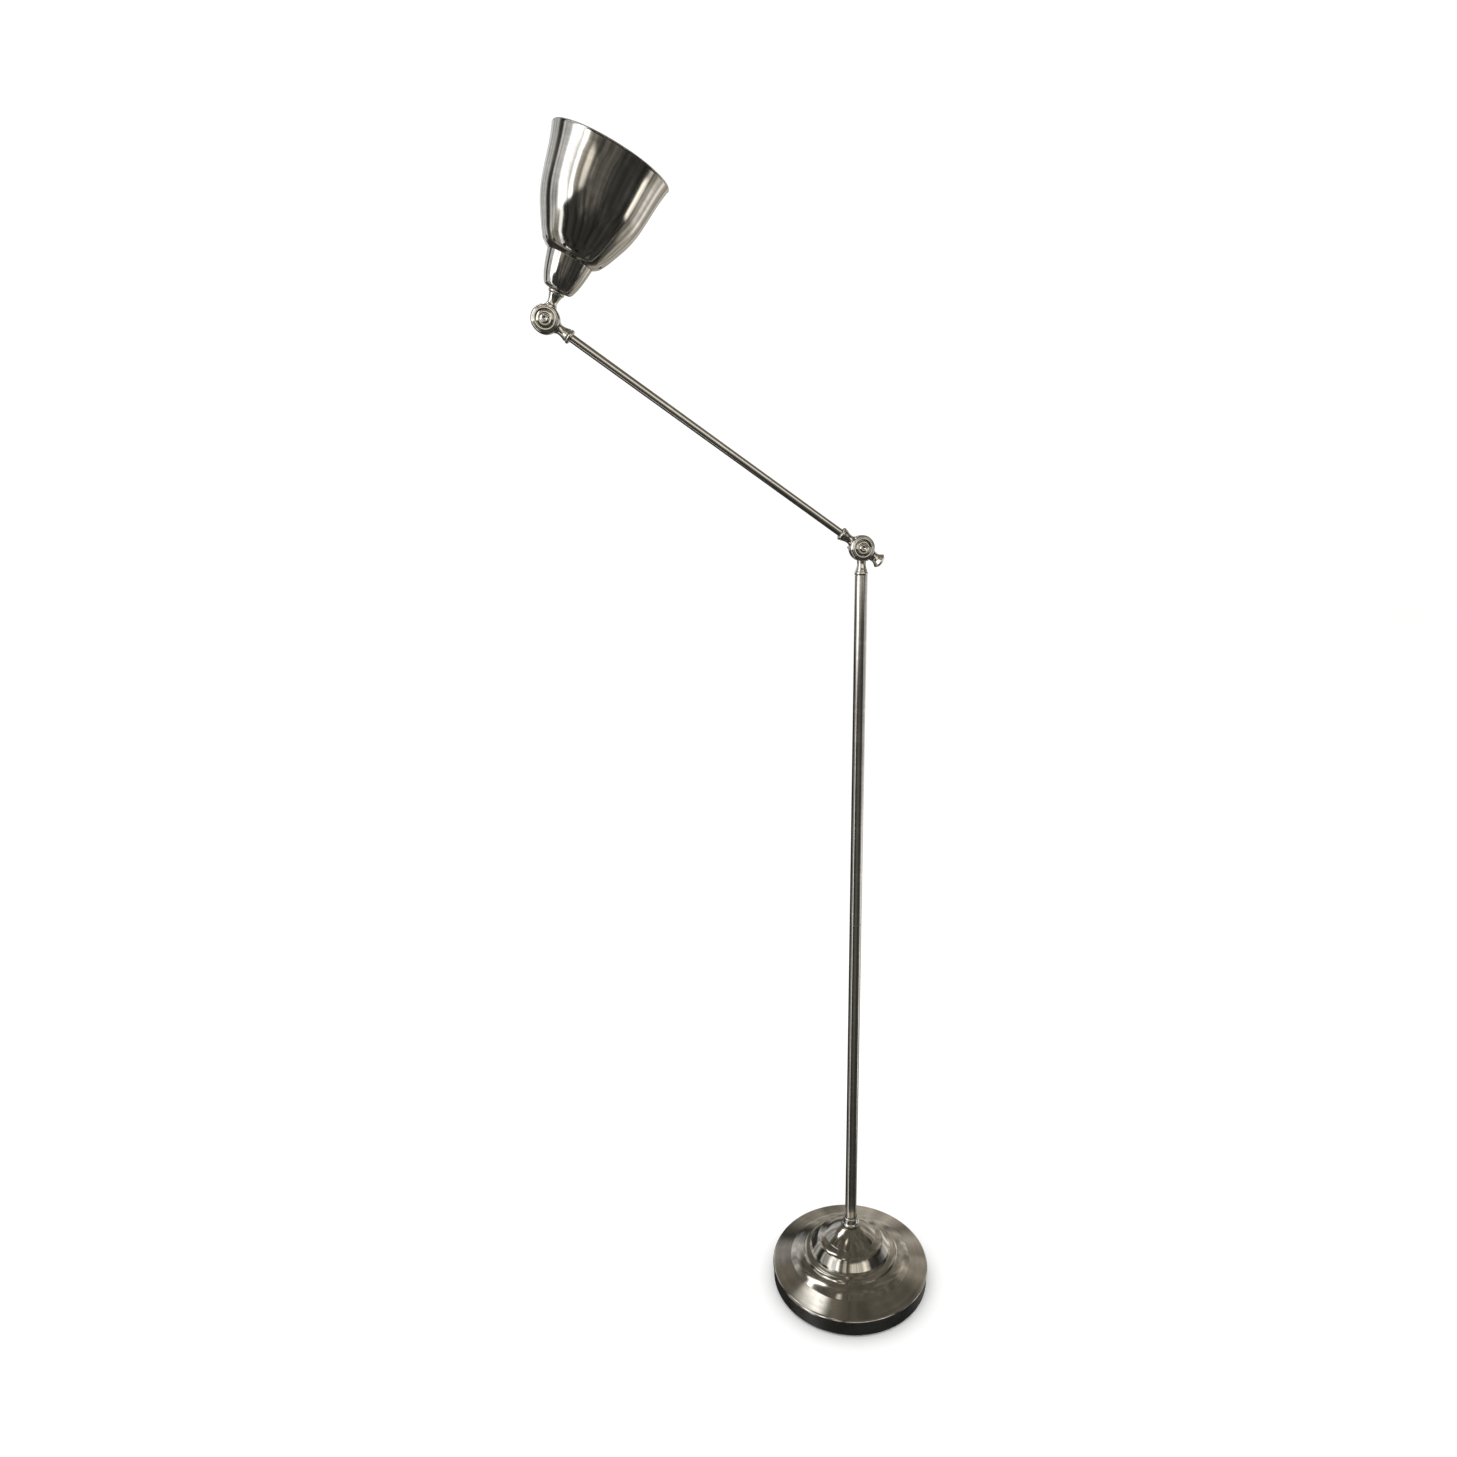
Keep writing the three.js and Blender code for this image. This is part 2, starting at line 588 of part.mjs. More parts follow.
// The elbow's arm half also carries two stop ears and the threaded boss of the locking knob.
function elbowArmHalf() {
  const earTop = DRUM_HALF - DRUM_SHOULDER;
  const earOutline = [[0, DRUM_GAP], [STOP_EAR_RADIUS, DRUM_GAP], [STOP_EAR_RADIUS, earTop], [0, earTop]];
  const ear = acrossHinge(earOutline, 1, SEGMENTS.tiny).translate([0, 0, DRUM_RADIUS + 0.3]);
  const boss = rod(KNOB_BOSS_RADIUS, rootHeight, knobBossEnd)
    .subtract(otherHalfRoom(1))
    .subtract(rod(KNOB_SCREW_RADIUS + CLEARANCE, DRUM_RADIUS - 0.5, knobBossEnd + 1, SEGMENTS.tiny));
  return knuckleHalf(1, { spigot: spigotRadius(armBore) })
    .add(ear.rotate([0, -STOP_ANGLE.lowering, 0]))
    .add(ear.rotate([0, STOP_ANGLE.raising - 180, 0]))
    .add(boss.rotate([0, 180, 0]));
}

function armSideCollar() {
  return neckCollar(COLLAR_RADIUS, armBore);
}

// The upper knuckle's arm half is turned over and set round the arm by the twist.
const armFarEnd = assembly(
  piece('tilt_arm_half', knuckleHalf(1, { spigot: spigotRadius(armBore) }), brightNickel),
  piece('arm_upper_collar', armSideCollar(), brightNickel),
  piece('tilt_rear_cap', drumCap(1), brightNickel),
);
armFarEnd.position.set(0, 0, ARM_LENGTH);
armFarEnd.rotation.set(0, Math.PI, KNUCKLE_TWIST);

function lockKnob() {
  const near = knobBossEnd + CLEARANCE;
  const rim = near + KNOB_FLARE;
  const screwBore = KNOB_SCREW_RADIUS + CLEARANCE;
  return turned([
    [0, near + KNOB_SCREW_DEPTH],
    [screwBore, near + KNOB_SCREW_DEPTH],
    [screwBore, near],
    [5.9, near],
    [6.4, near + 3.4],
    [KNOB_RIM, rim],
    [KNOB_RIM * 0.72, rim + 3.2],
    [0, near + KNOB_LENGTH],
  ]).rotate([0, 180, 0]);
}

function lockScrew() {
  const tip = DRUM_RADIUS + CLEARANCE;
  const head = knobBossEnd + KNOB_SCREW_DEPTH;
  return rod(KNOB_SCREW_RADIUS, tip, head, SEGMENTS.tiny).rotate([0, 180, 0]);
}

const arm = assembly(
  piece('elbow_arm_half', elbowArmHalf(), brightNickel),
  piece('elbow_rear_cap', drumCap(1), brightNickel),
  piece('arm_lower_collar', armSideCollar(), brightNickel),
  piece('arm_tube', sleeve(ARM_RADIUS, armBore, tubeStart, ARM_LENGTH - tubeStart, SEGMENTS.small), nickel),
  piece('arm_wire', rod(WIRE_RADIUS, wireEnd, ARM_LENGTH - wireEnd, SEGMENTS.tiny), rubber),
  piece('lock_knob', lockKnob(), brightNickel),
  piece('lock_screw', lockScrew(), steel),
  armFarEnd,
);
arm.position.set(0, 0, ELBOW_HEIGHT);
arm.rotation.set(0, ARM_PITCH - Math.PI / 2, 0);

// ---------------------------------------------------------------- head: +Z runs along the shade's axis

const cupFoot = collarNear + HEAD_RING_THICKNESS + CLEARANCE;
const cupMouth = cupFoot + CUP_HEIGHT;
const shadeFoot = cupMouth + CLEARANCE;
const nippleTop = nippleFoot + NIPPLE_LENGTH;
const nippleHole = NIPPLE_RADIUS + CLEARANCE;
const cupFloor = cupFoot + CUP_WALL;
const cupNutTop = cupFloor + CLEARANCE + 3;
const holderFoot = cupNutTop + CLEARANCE;
const shadeRingFoot = shadeFoot + SHADE_WALL + CLEARANCE;
const shadeRingTop = shadeRingFoot + SHADE_RING_THICKNESS;
const holderTop = shadeRingTop + 2 * CLEARANCE;
const socketFloor = holderTop - SOCKET_DEPTH;

function socketCup() {
  const corner = 4;
  const outside = [
    ...arc([cupBaseRadius - corner, cupFoot + corner], corner, -90, -15, 2),
    [cupBaseRadius + 3.4, cupFoot + CUP_HEIGHT * 0.32],
    [cupBaseRadius + 6.4, cupFoot + CUP_HEIGHT * 0.66],
    [cupMouthRadius, cupMouth],
  ];
  const inside = offsetProfile(outside, CUP_WALL);
  inside[inside.length - 1] = [cupMouthRadius - CUP_WALL, cupMouth];
  return turned(closed([
    [nippleHole, cupFoot],
    ...outside,
    ...inside.reverse(),
    [nippleHole, cupFloor],
  ]), SEGMENTS.medium);
}

// The bell's outer profile, from its foot at the cup's mouth to its rim.
function shadeOutline() {
  const spread = SHADE_RIM_RADIUS - cupMouthRadius;
  const points = [[cupMouthRadius, shadeFoot]];
  for (const [rise, share] of SHADE_SPREAD) {
    points.push([cupMouthRadius + spread * share, shadeFoot + SHADE_HEIGHT * rise]);
  }
  return smooth(points, 9);
}

function shade() {
  const outside = shadeOutline();
  const inside = offsetProfile(outside, SHADE_WALL);
  const flangeTop = shadeFoot + SHADE_WALL;
  inside[0] = [cupMouthRadius - 0.4, flangeTop];
  const rim = arc([SHADE_RIM_RADIUS, shadeFoot + SHADE_HEIGHT], RIM_BEAD_RADIUS, -60, 180, 4);
  const flangeHole = holderRadius + CLEARANCE;
  const bell = turned(closed([
    [flangeHole, shadeFoot],
    ...outside.slice(0, -1),
    ...rim,
    ...inside.slice(0, -1).reverse(),
    [flangeHole, flangeTop],
  ]), SEGMENTS.fine);
  // The vents are drilled square to the wall.
  const [low, high] = [outside[1], outside[2]];
  const wall = [high[0] - low[0], high[1] - low[1]];
  const ventRadius = low[0] + (wall[0] * (shadeFoot + VENT_RISE - low[1])) / wall[1];
  const wallFlare = THREE.MathUtils.radToDeg(Math.atan2(wall[0], wall[1]));
  const drill = rod(VENT_RADIUS, -2 * VENT_RADIUS, 2 * VENT_RADIUS, SEGMENTS.tiny)
    .rotate([0, 90 + wallFlare, 0])
    .translate([ventRadius, 0, shadeFoot + VENT_RISE]);
  let vented = bell;
  for (let vent = 0; vent < VENT_COUNT; vent += 1) {
    vented = vented.subtract(drill.rotate([0, 0, ((vent + 0.5) * 360) / VENT_COUNT]));
  }
  return vented;
}

// The threaded ring that holds the shade's foot against the cup.
function shadeRing() {
  const bore = holderRadius + CLEARANCE;
  return sleeve(bore + SHADE_RING_WIDTH, bore, shadeRingFoot, shadeRingTop);
}

function lampholder() {
  return turned(closed([
    [nippleHole, holderFoot],
    [holderRadius - HOLDER_TAPER, holderFoot],
    [holderRadius, holderFoot + 9],
    [holderRadius, holderTop],
    [socketRadius, holderTop],
    [socketRadius, socketFloor],
    [nippleHole, socketFloor],
  ]));
}

// The screw shell and the centre contact stand on the socket's floor, and the bulb's cap is screwed
// into the shell.
const capFoot = socketFloor + CLEARANCE + 3.2;
const capTop = capFoot + 26;
const bulbCrown = capFoot + BULB_LENGTH;

function centreContact() {
  const radius = BULB_CAP_RADIUS / 2;
  return sleeve(radius, nippleHole, socketFloor + CLEARANCE, capFoot - CLEARANCE, SEGMENTS.tiny);
}

function bulbCap() {
  return turned([
    [0, capFoot],
    [4, capFoot],
    [BULB_CAP_RADIUS - 4, capFoot + 3],
    [BULB_CAP_RADIUS, capFoot + 5],
    [BULB_CAP_RADIUS, capTop],
    [0, capTop],
  ], SEGMENTS.small);
}

function bulbGlass() {
  const centre = bulbCrown - BULB_RADIUS;
  const neck = BULB_CAP_RADIUS - 0.6;
  const foot = capTop + CLEARANCE;
  const outside = [
    [neck, foot],
    [neck + 0.8, foot + 6],
    ...arc([0, centre], BULB_RADIUS, -40, 90, 5),
  ];
  outside[outside.length - 1] = [0, bulbCrown];
  const inside = [
    ...arc([0, centre], BULB_RADIUS - BULB_WALL, 90, -40, 5),
    [neck + 0.8 - BULB_WALL, foot + 6],
    [neck - BULB_WALL, foot],
  ];
  inside[0] = [0, bulbCrown - BULB_WALL];
  return turned([...inside, ...outside], SEGMENTS.medium);
}

const head = assembly(
  piece('tilt_head_half', knuckleHalf(-1, { nippleHole }), brightNickel),
  ...knuckleHardware('tilt'),
  piece('cup_ring', neckCollar(HEAD_RING_RADIUS, nippleHole, HEAD_RING_THICKNESS), brightNickel),
  piece('head_nipple', sleeve(NIPPLE_RADIUS, NIPPLE_BORE, nippleFoot, nippleTop, SEGMENTS.small), steel),
  piece('cup_nut', hexNut(14, nippleHole, cupFloor + CLEARANCE, cupNutTop), steel),
  piece('socket_cup', socketCup(), nickel),
  piece('shade', shade(), nickel),
  piece('lampholder', lampholder(), phenolic),
  piece('shade_ring', shadeRing(), phenolic),
  piece('screw_shell', sleeve(shellOuter, shellInner, socketFloor + CLEARANCE, holderTop - 1), brass),
  piece('centre_contact', centreContact(), brass),
  piece('bulb_cap', bulbCap(), brass),
  piece('bulb_glass', bulbGlass(), opalGlass),
  piece('head_wire', rod(WIRE_RADIUS, wireEnd, capFoot - 1, SEGMENTS.tiny), rubber),
);
const armLine = new THREE.Vector3(-Math.cos(ARM_PITCH), 0, Math.sin(ARM_PITCH));
head.position.set(0, 0, ELBOW_HEIGHT).addScaledVector(armLine, ARM_LENGTH);
head.rotation.set(0, SHADE_TILT, 0);
head.quaternion.premultiply(new THREE.Quaternion().setFromAxisAngle(armLine, -KNUCKLE_TWIST));

// ---------------------------------------------------------------- the lamp

const lamp = assembly(baseHardware, columnPieces, elbowColumnSide, arm, head);
lamp.name = 'adjustable_arm_floor_lamp';

export default lamp;
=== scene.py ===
import json
import math

import bmesh
import bpy
import numpy as np
from mathutils import Matrix, Vector


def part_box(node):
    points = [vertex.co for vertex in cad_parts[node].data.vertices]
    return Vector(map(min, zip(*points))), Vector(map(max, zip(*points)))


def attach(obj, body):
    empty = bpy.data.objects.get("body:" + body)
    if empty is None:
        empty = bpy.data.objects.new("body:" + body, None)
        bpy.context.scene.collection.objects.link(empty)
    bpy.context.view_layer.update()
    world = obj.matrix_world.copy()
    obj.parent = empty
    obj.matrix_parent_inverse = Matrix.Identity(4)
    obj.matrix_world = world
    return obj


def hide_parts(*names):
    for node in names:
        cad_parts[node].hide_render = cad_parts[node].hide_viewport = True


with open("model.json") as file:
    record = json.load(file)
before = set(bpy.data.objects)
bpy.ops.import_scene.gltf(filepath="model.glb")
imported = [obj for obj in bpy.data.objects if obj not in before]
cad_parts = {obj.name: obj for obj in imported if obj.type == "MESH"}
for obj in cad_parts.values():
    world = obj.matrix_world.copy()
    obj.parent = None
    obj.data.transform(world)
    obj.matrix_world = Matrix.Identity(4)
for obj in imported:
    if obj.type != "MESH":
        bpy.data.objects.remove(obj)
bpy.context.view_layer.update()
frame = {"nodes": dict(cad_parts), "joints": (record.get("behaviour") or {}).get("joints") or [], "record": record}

MM = 0.001

# ---------------------------------------------------------------- the lamp's own axes, from the frame

JOINTS = {joint["name"]: joint for joint in frame["joints"]}
ELBOW = Vector(JOINTS["elbow"]["pos_m"])
TILT = Vector(JOINTS["shade_tilt"]["pos_m"])
ELBOW_HINGE = Vector(JOINTS["elbow"]["axis"])
TILT_HINGE = Vector(JOINTS["shade_tilt"]["axis"])
UP = Vector((0, 0, 1))
ARM = (TILT - ELBOW).normalized()
BASE = Vector((0, 0, 0))


def corners(node):
    """A CAD node's vertices as rows of numbers."""
    mesh = frame["nodes"][node].data
    places = np.zeros(len(mesh.vertices) * 3)
    mesh.vertices.foreach_get("co", places)
    return places.reshape(-1, 3)


def middle(node):
    low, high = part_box(node)
    return (low + high) / 2


SHADE = (Vector(np.unique(corners("socket_cup").round(6), axis=0).mean(0)) - TILT).normalized()

# ---------------------------------------------------------------- camera, floor and light

CAMERA_PLACE = Vector((-0.345, -1.119, 1.036))
CAMERA_HEADING = math.radians(-12.8)
CAMERA_PITCH = math.radians(9.85)
CAMERA_ROLL = math.radians(0.2)
SENSOR_MM = 36
LENS_MM = 22.83
SHIFT_X, SHIFT_Y = -0.0423, -0.0183
NEAREST_SEEN = 0.05


def make_camera():
    data = bpy.data.cameras.new("camera")
    data.sensor_width = SENSOR_MM
    data.lens = LENS_MM
    data.shift_x = SHIFT_X
    data.shift_y = SHIFT_Y
    data.clip_start = NEAREST_SEEN
    camera = bpy.data.objects.new("camera", data)
    turn = Matrix.Rotation(CAMERA_HEADING, 4, "Z") @ Matrix.Rotation(math.pi / 2 - CAMERA_PITCH, 4, "X")
    camera.matrix_world = Matrix.Translation(CAMERA_PLACE) @ turn @ Matrix.Rotation(CAMERA_ROLL, 4, "Z")
    bpy.context.scene.collection.objects.link(camera)
    bpy.context.scene.camera = camera


def area_light(name, place, target, size, power, colour):
    """A soft light for the floor and the dull surfaces; the metal mirrors the room instead."""
    data = bpy.data.lights.new(name, "AREA")
    data.shape = "RECTANGLE"
    data.size, data.size_y = size
    data.energy = power
    data.color = colour
    light = bpy.data.objects.new(name, data)
    light.location = place
    light.rotation_euler = (Vector(target) - Vector(place)).to_track_quat("-Z", "Y").to_euler()
    light.visible_camera = False
    light.visible_glossy = False
    bpy.context.scene.collection.objects.link(light)


class Nodes:
    """Short ways to make the nodes that the room and the materials share."""

    def __init__(self, tree):
        self.tree = tree

    def node(self, kind, **settings):
        made = self.tree.nodes.new("ShaderNode" + kind)
        for key, value in settings.items():
            setattr(made, key, value)
        return made

    def link(self, output, socket):
        self.tree.links.new(output, socket)

    def math(self, operation, a, b):
        made = self.node("Math", operation=operation)
        self.link(a, made.inputs[0])
        self.link(b, made.inputs[1])
        return made.outputs[0]

    def spread(self, value, low, high, start=0.3, end=0.7, smooth=False):
        """The value from start..end mapped to low..high."""
        made = self.node("MapRange", interpolation_type="SMOOTHSTEP" if smooth else "LINEAR")
        for key, number in (("From Min", start), ("From Max", end), ("To Min", low), ("To Max", high)):
            made.inputs[key].default_value = number
        self.link(value, made.inputs["Value"])
        return made.outputs["Result"]

    def noise(self, vector, scale, detail=3.0, roughness=0.55):
        made = self.node("TexNoise")
        made.inputs["Scale"].default_value = scale
        made.inputs["Detail"].default_value = detail
        made.inputs["Roughness"].default_value = roughness
        self.link(vector, made.inputs["Vector"])
        return made.outputs["Fac"]

    def stretched(self, vector, scale):
        mapping = self.node("Mapping")
        mapping.inputs["Scale"].default_value = scale
        self.link(vector, mapping.inputs["Vector"])
        return mapping.outputs["Vector"]


# The room that the metal mirrors. Each panel is a soft-edged patch of it: its name, how far it is to the left
# of the line from the lamp to the camera, half its width, its lower and upper edge above the horizon, its
# softness (all in degrees), its colour and its strength.
WARM, CREAM, COOL = (1.0, 0.93, 0.82), (1.0, 0.95, 0.86), (0.97, 0.98, 1.0)
PANELS = [
    ("window", 48, 16, -7, 42, 5, COOL, 2.4),
    ("window_on_floor", 56, 4, -60, 2, 3, COOL, 1.5),
    ("pale_floor", 76, 16, -60, 0, 10, WARM, 0.26),
    ("side_window", 76, 11, -5, 30, 6, COOL, 0.6),
    ("roof_window", 98, 9, 46, 68, 2, COOL, 5.0),
    ("back_roof_window", 148, 6, 56, 69, 2, COOL, 3.6),
    ("ceiling_lamp", 30, 6, 58, 68, 4, CREAM, 1.6),
    ("left_wall", 128, 26, -2, 34, 10, COOL, 0.62),
    ("doorway", 16, 4, -5, 46, 6, CREAM, 0.85),
    ("front_wall", 12, 20, -4, 27, 12, WARM, 0.5),
    ("front_lamp", -30, 28, -1, 32, 8, CREAM, 1.15),
    ("front_floor", -4, 24, -34, -8, 20, WARM, 0.1),
    ("right_lamp", -102, 6, -34, -16, 5, CREAM, 1.5),
    ("right_wall", -112, 40, -24, 6, 14, COOL, 0.5),
    ("back_wall", -155, 40, -42, 40, 14, WARM, 0.46),
]
CEILING = (0.185, 0.17, 0.143)
DARK_ROOM = (0.045, 0.045, 0.042)
CEILING_STARTS, CEILING_FULL = 0.3, 0.75  # sines of the height above the horizon
BACKDROP = (1.06, 1.06, 1.06)  # seen by the camera and the dull surfaces, a little over white

# Uneven brightness over the room: how the noise is stretched, its roughness, and its dim and bright factors
CLUTTER = ((8, 8, 1.6), 0.6, 0.6, 1.35)
STREAKS = ((7, 7, 0), 0.62, 0.45, 1.5)

# Soft lights: name, place, the point it faces, width and height, watts and colour
LIGHTS = [
    ("overhead", (-0.6, -0.8, 3.2), (0, 0, 0), (2.6, 2.6), 14, (1, 0.99, 0.975)),
    ("front_left", (-2.4, -2.2, 1.4), (0, 0, 0.6), (1.2, 1.6), 8, (1, 0.99, 0.97)),
]
FLOOR_REACH = 14
FLOOR_COLOUR = (0.97, 0.97, 0.967)


def facing():
    """The flat direction from the lamp to the camera, as an angle from +X."""
    return math.atan2(CAMERA_PLACE.y, CAMERA_PLACE.x)


def panel(room, level, height, left, half_width, low, high, softness):
    """How much of the panel is seen along a direction: 0 outside, 1 inside, smooth across its edges."""
    angle = facing() - math.radians(left)
    aim = room.node("VectorMath", operation="DOT_PRODUCT")
    aim.inputs[1].default_value = (math.cos(angle), math.sin(angle), 0)
    room.link(level, aim.inputs[0])
    outer, inner = (math.cos(math.radians(half_width + side * softness / 2)) for side in (1, -1))
    across = room.spread(aim.outputs["Value"], 0, 1, outer, inner, smooth=True)
    edge = math.radians(softness) / 2
    bottom, top = math.sin(math.radians(low)), math.sin(math.radians(high))
    above = room.spread(height, 0, 1, bottom - edge, bottom + edge, smooth=True)
    below = room.spread(height, 1, 0, top - edge, top + edge, smooth=True)
    return room.math("MULTIPLY", across, room.math("MULTIPLY", above, below))


def unevenness(room, vector, stretch, roughness, dim, bright):
    """A factor that varies over the room from `dim` to `bright`."""
    noise = room.noise(room.stretched(vector, stretch), 1.0, detail=4.0, roughness=roughness)
    return room.spread(noise, dim, bright, 0.35, 0.65)


def make_room():
    world = bpy.data.worlds.new("studio")
    bpy.context.scene.world = world
    world.use_nodes = True
    world.node_tree.nodes.clear()
    room = Nodes(world.node_tree)
    direction = room.node("TexCoord").outputs["Generated"]
    split = room.node("SeparateXYZ")
    room.link(direction, split.inputs[0])
    height = split.outputs["Z"]
    flatten = room.node("VectorMath", operation="MULTIPLY")
    flatten.inputs[1].default_value = (1, 1, 0)
    room.link(direction, flatten.inputs[0])
    level = room.node("VectorMath", operation="NORMALIZE")
    room.link(flatten.outputs[0], level.inputs[0])
    walls = room.node("Mix", data_type="RGBA")
    walls.inputs["A"].default_value = (*DARK_ROOM, 1)
    walls.inputs["B"].default_value = (*CEILING, 1)
    overhead = room.spread(height, 0, 1, CEILING_STARTS, CEILING_FULL, smooth=True)
    room.link(overhead, walls.inputs["Factor"])
    light = walls.outputs["Result"]
    for _, left, half_width, low, high, softness, colour, strength in PANELS:
        seen = panel(room, level.outputs[0], height, left, half_width, low, high, softness)
        patch = room.node("Mix", data_type="RGBA", blend_type="ADD", clamp_factor=True)
        patch.inputs["B"].default_value = (*(channel * strength for channel in colour), 1)
        room.link(light, patch.inputs["A"])
        room.link(seen, patch.inputs["Factor"])
        light = patch.outputs["Result"]
    clutter = unevenness(room, direction, *CLUTTER)
    streaks = unevenness(room, level.outputs[0], *STREAKS)
    strength = room.math("MULTIPLY", clutter, streaks)
    mirrored = room.node("Background")
    room.link(light, mirrored.inputs["Color"])
    room.link(strength, mirrored.inputs["Strength"])
    backdrop = room.node("Background")
    backdrop.inputs["Color"].default_value = (*BACKDROP, 1)
    mix = room.node("MixShader")
    room.link(room.node("LightPath").outputs["Is Glossy Ray"], mix.inputs[0])
    room.link(backdrop.outputs[0], mix.inputs[1])
    room.link(mirrored.outputs[0], mix.inputs[2])
    room.link(mix.outputs[0], room.node("OutputWorld").inputs["Surface"])


def make_light():
    bpy.context.scene.view_settings.view_transform = "Standard"
    make_room()
    for light in LIGHTS:
        area_light(*light)


def make_floor():
    """A plain pale floor, kept out of the metal's reflections, which show the room instead."""
    reach = FLOOR_REACH
    corners_of_floor = [(-reach, -reach, 0), (reach, -reach, 0), (reach, reach, 0), (-reach, reach, 0)]
    mesh = bpy.data.meshes.new("floor")
    mesh.from_pydata(corners_of_floor, [], [(0, 1, 2, 3)])
    floor = bpy.data.objects.new("floor", mesh)
    floor.visible_glossy = False
    bpy.context.scene.collection.objects.link(floor)
    material = bpy.data.materials.new("pale_floor")
    material.use_nodes = True
    shader = material.node_tree.nodes["Principled BSDF"]
    shader.inputs["Base Color"].default_value = (*FLOOR_COLOUR, 1)
    shader.inputs["Roughness"].default_value = 0.8
    shader.inputs["Specular IOR Level"].default_value = 0.1
    mesh.materials.append(material)


# ---------------------------------------------------------------- materials

# How the noise for a turned surface's marks is stretched, round it and along its outline
FINE_LINES = (6, 1100, 1)
BROAD_LINES = (9, 160, 1)


class Surface(Nodes):
    """One procedural material: a principled shader and the nodes that vary it."""

    def __init__(self, name, **constants):
        self.material = bpy.data.materials.new(name)
        self.material.use_nodes = True
        super().__init__(self.material.node_tree)
        self.shader = self.tree.nodes["Principled BSDF"]
        for socket, value in constants.items():
            self.shader.inputs[socket.replace("_", " ")].default_value = value
        place = self.node("TexCoord")
        self.around, self.place = place.outputs["UV"], place.outputs["Object"]
        self.normal = None

    def colour(self, value, low, high):
        """Base colour from `low` to `high` as the value goes from 0.3 to 0.7."""
        made = self.node("ValToRGB")
        for stop, position, shade in zip(made.color_ramp.elements, (0.3, 0.7), (low, high)):
            stop.position = position
            stop.color = (*shade, 1)
        self.link(value, made.inputs[0])
        self.link(made.outputs[0], self.shader.inputs["Base Color"])

    def roughness(self, value):
        self.link(value, self.shader.inputs["Roughness"])

    def bump(self, value, strength, distance):
        made = self.node("Bump")
        made.inputs["Strength"].default_value = strength
        made.inputs["Distance"].default_value = distance
        self.link(value, made.inputs["Height"])
        if self.normal:
            self.link(self.normal, made.inputs["Normal"])
        self.normal = made.outputs["Normal"]
        self.link(self.normal, self.shader.inputs["Normal"])


def spun_metal(name, tone, polish, marks, smear, waves=0.0):
    """Plated metal turned or spun about its axis: fine marks run round it, so that highlights smear along it,
    over a cloudy polish, handling smudges and, on thin sheet, shallow waves."""
    surface = Surface(name, Metallic=1.0, Anisotropic=smear, Anisotropic_Rotation=0.25)
    tangent = surface.node("Tangent", direction_type="UV_MAP")
    surface.link(tangent.outputs[0], surface.shader.inputs["Tangent"])
    fine = surface.noise(surface.stretched(surface.around, FINE_LINES), 1.0, detail=3.0)
    broad = surface.noise(surface.stretched(surface.around, BROAD_LINES), 1.0, detail=3.0)
    clouds = surface.noise(surface.place, 20.0, detail=4.0)
    smudges = surface.noise(surface.stretched(surface.place, (1, 1, 0.5)), 55.0, detail=6.0, roughness=0.66)
    stains = surface.math("MULTIPLY", surface.spread(clouds, 0, 1), surface.spread(broad, 0.4, 1))
    surface.colour(stains, tuple(channel * 0.82 for channel in tone), tone)
    lines = surface.spread(fine, polish * 0.8, polish * 1.2)
    polished = surface.math("ADD", lines, surface.spread(clouds, 0, polish * 0.3))
    surface.roughness(surface.math("ADD", polished, surface.spread(smudges, 0, polish * 0.9, 0.56, 0.8)))
    surface.bump(fine, marks, 0.00003)
    surface.bump(broad, marks * 0.8, 0.00006)
    if waves:
        surface.bump(surface.noise(surface.place, 26.0, detail=1.0), waves, 0.0006)
    return surface.material


def cut_steel(name):
    surface = Surface(name, Metallic=1.0)
    grain = surface.noise(surface.stretched(surface.place, (1, 1, 5)), 420.0, detail=4.0)
    clouds = surface.noise(surface.place, 70.0, detail=4.0)
    surface.colour(clouds, (0.36, 0.36, 0.37), (0.5, 0.5, 0.51))
    surface.roughness(surface.spread(grain, 0.24, 0.42))
    surface.bump(grain, 0.2, 0.00008)
    return surface.material


def brass(name):
    surface = Surface(name, Metallic=1.0)
    clouds = surface.noise(surface.place, 120.0, detail=5.0)
    lines = surface.noise(surface.stretched(surface.place, (1, 1, 8)), 260.0, detail=3.0)
    surface.colour(clouds, (0.26, 0.17, 0.07), (0.46, 0.33, 0.15))
    surface.roughness(surface.spread(lines, 0.26, 0.44))
    surface.bump(lines, 0.12, 0.00008)
    return surface.material


def coated(name, low, high, rough, grain_size, depth, scuffs=0.0):
    """Paint, rubber or moulded resin: a slightly mottled skin with a fine even texture."""
    surface = Surface(name)
    mottle = surface.noise(surface.place, 34.0, detail=4.0)
    grain = surface.noise(surface.place, grain_size, detail=3.0, roughness=0.6)
    surface.colour(mottle, low, high)
    skin = surface.spread(mottle, rough * 0.85, rough * 1.15)
    if scuffs:
        streaks = surface.noise(surface.stretched(surface.place, (1, 1, 7)), 60.0, detail=6.0, roughness=0.7)
        skin = surface.math("ADD", skin, surface.spread(streaks, 0, scuffs, 0.58, 0.8))
    surface.roughness(skin)
    surface.bump(grain, 0.35, depth)
    return surface.material


def felt(name):
    surface = Surface(name, Sheen_Weight=0.4)
    fibres = surface.noise(surface.place, 1400.0, detail=6.0, roughness=0.75)
    patches = surface.noise(surface.place, 60.0, detail=3.0)
    surface.colour(patches, (0.016, 0.016, 0.014), (0.035, 0.035, 0.031))
    surface.roughness(surface.spread(fibres, 0.85, 1.0))
    surface.bump(fibres, 0.8, 0.0004)
    return surface.material


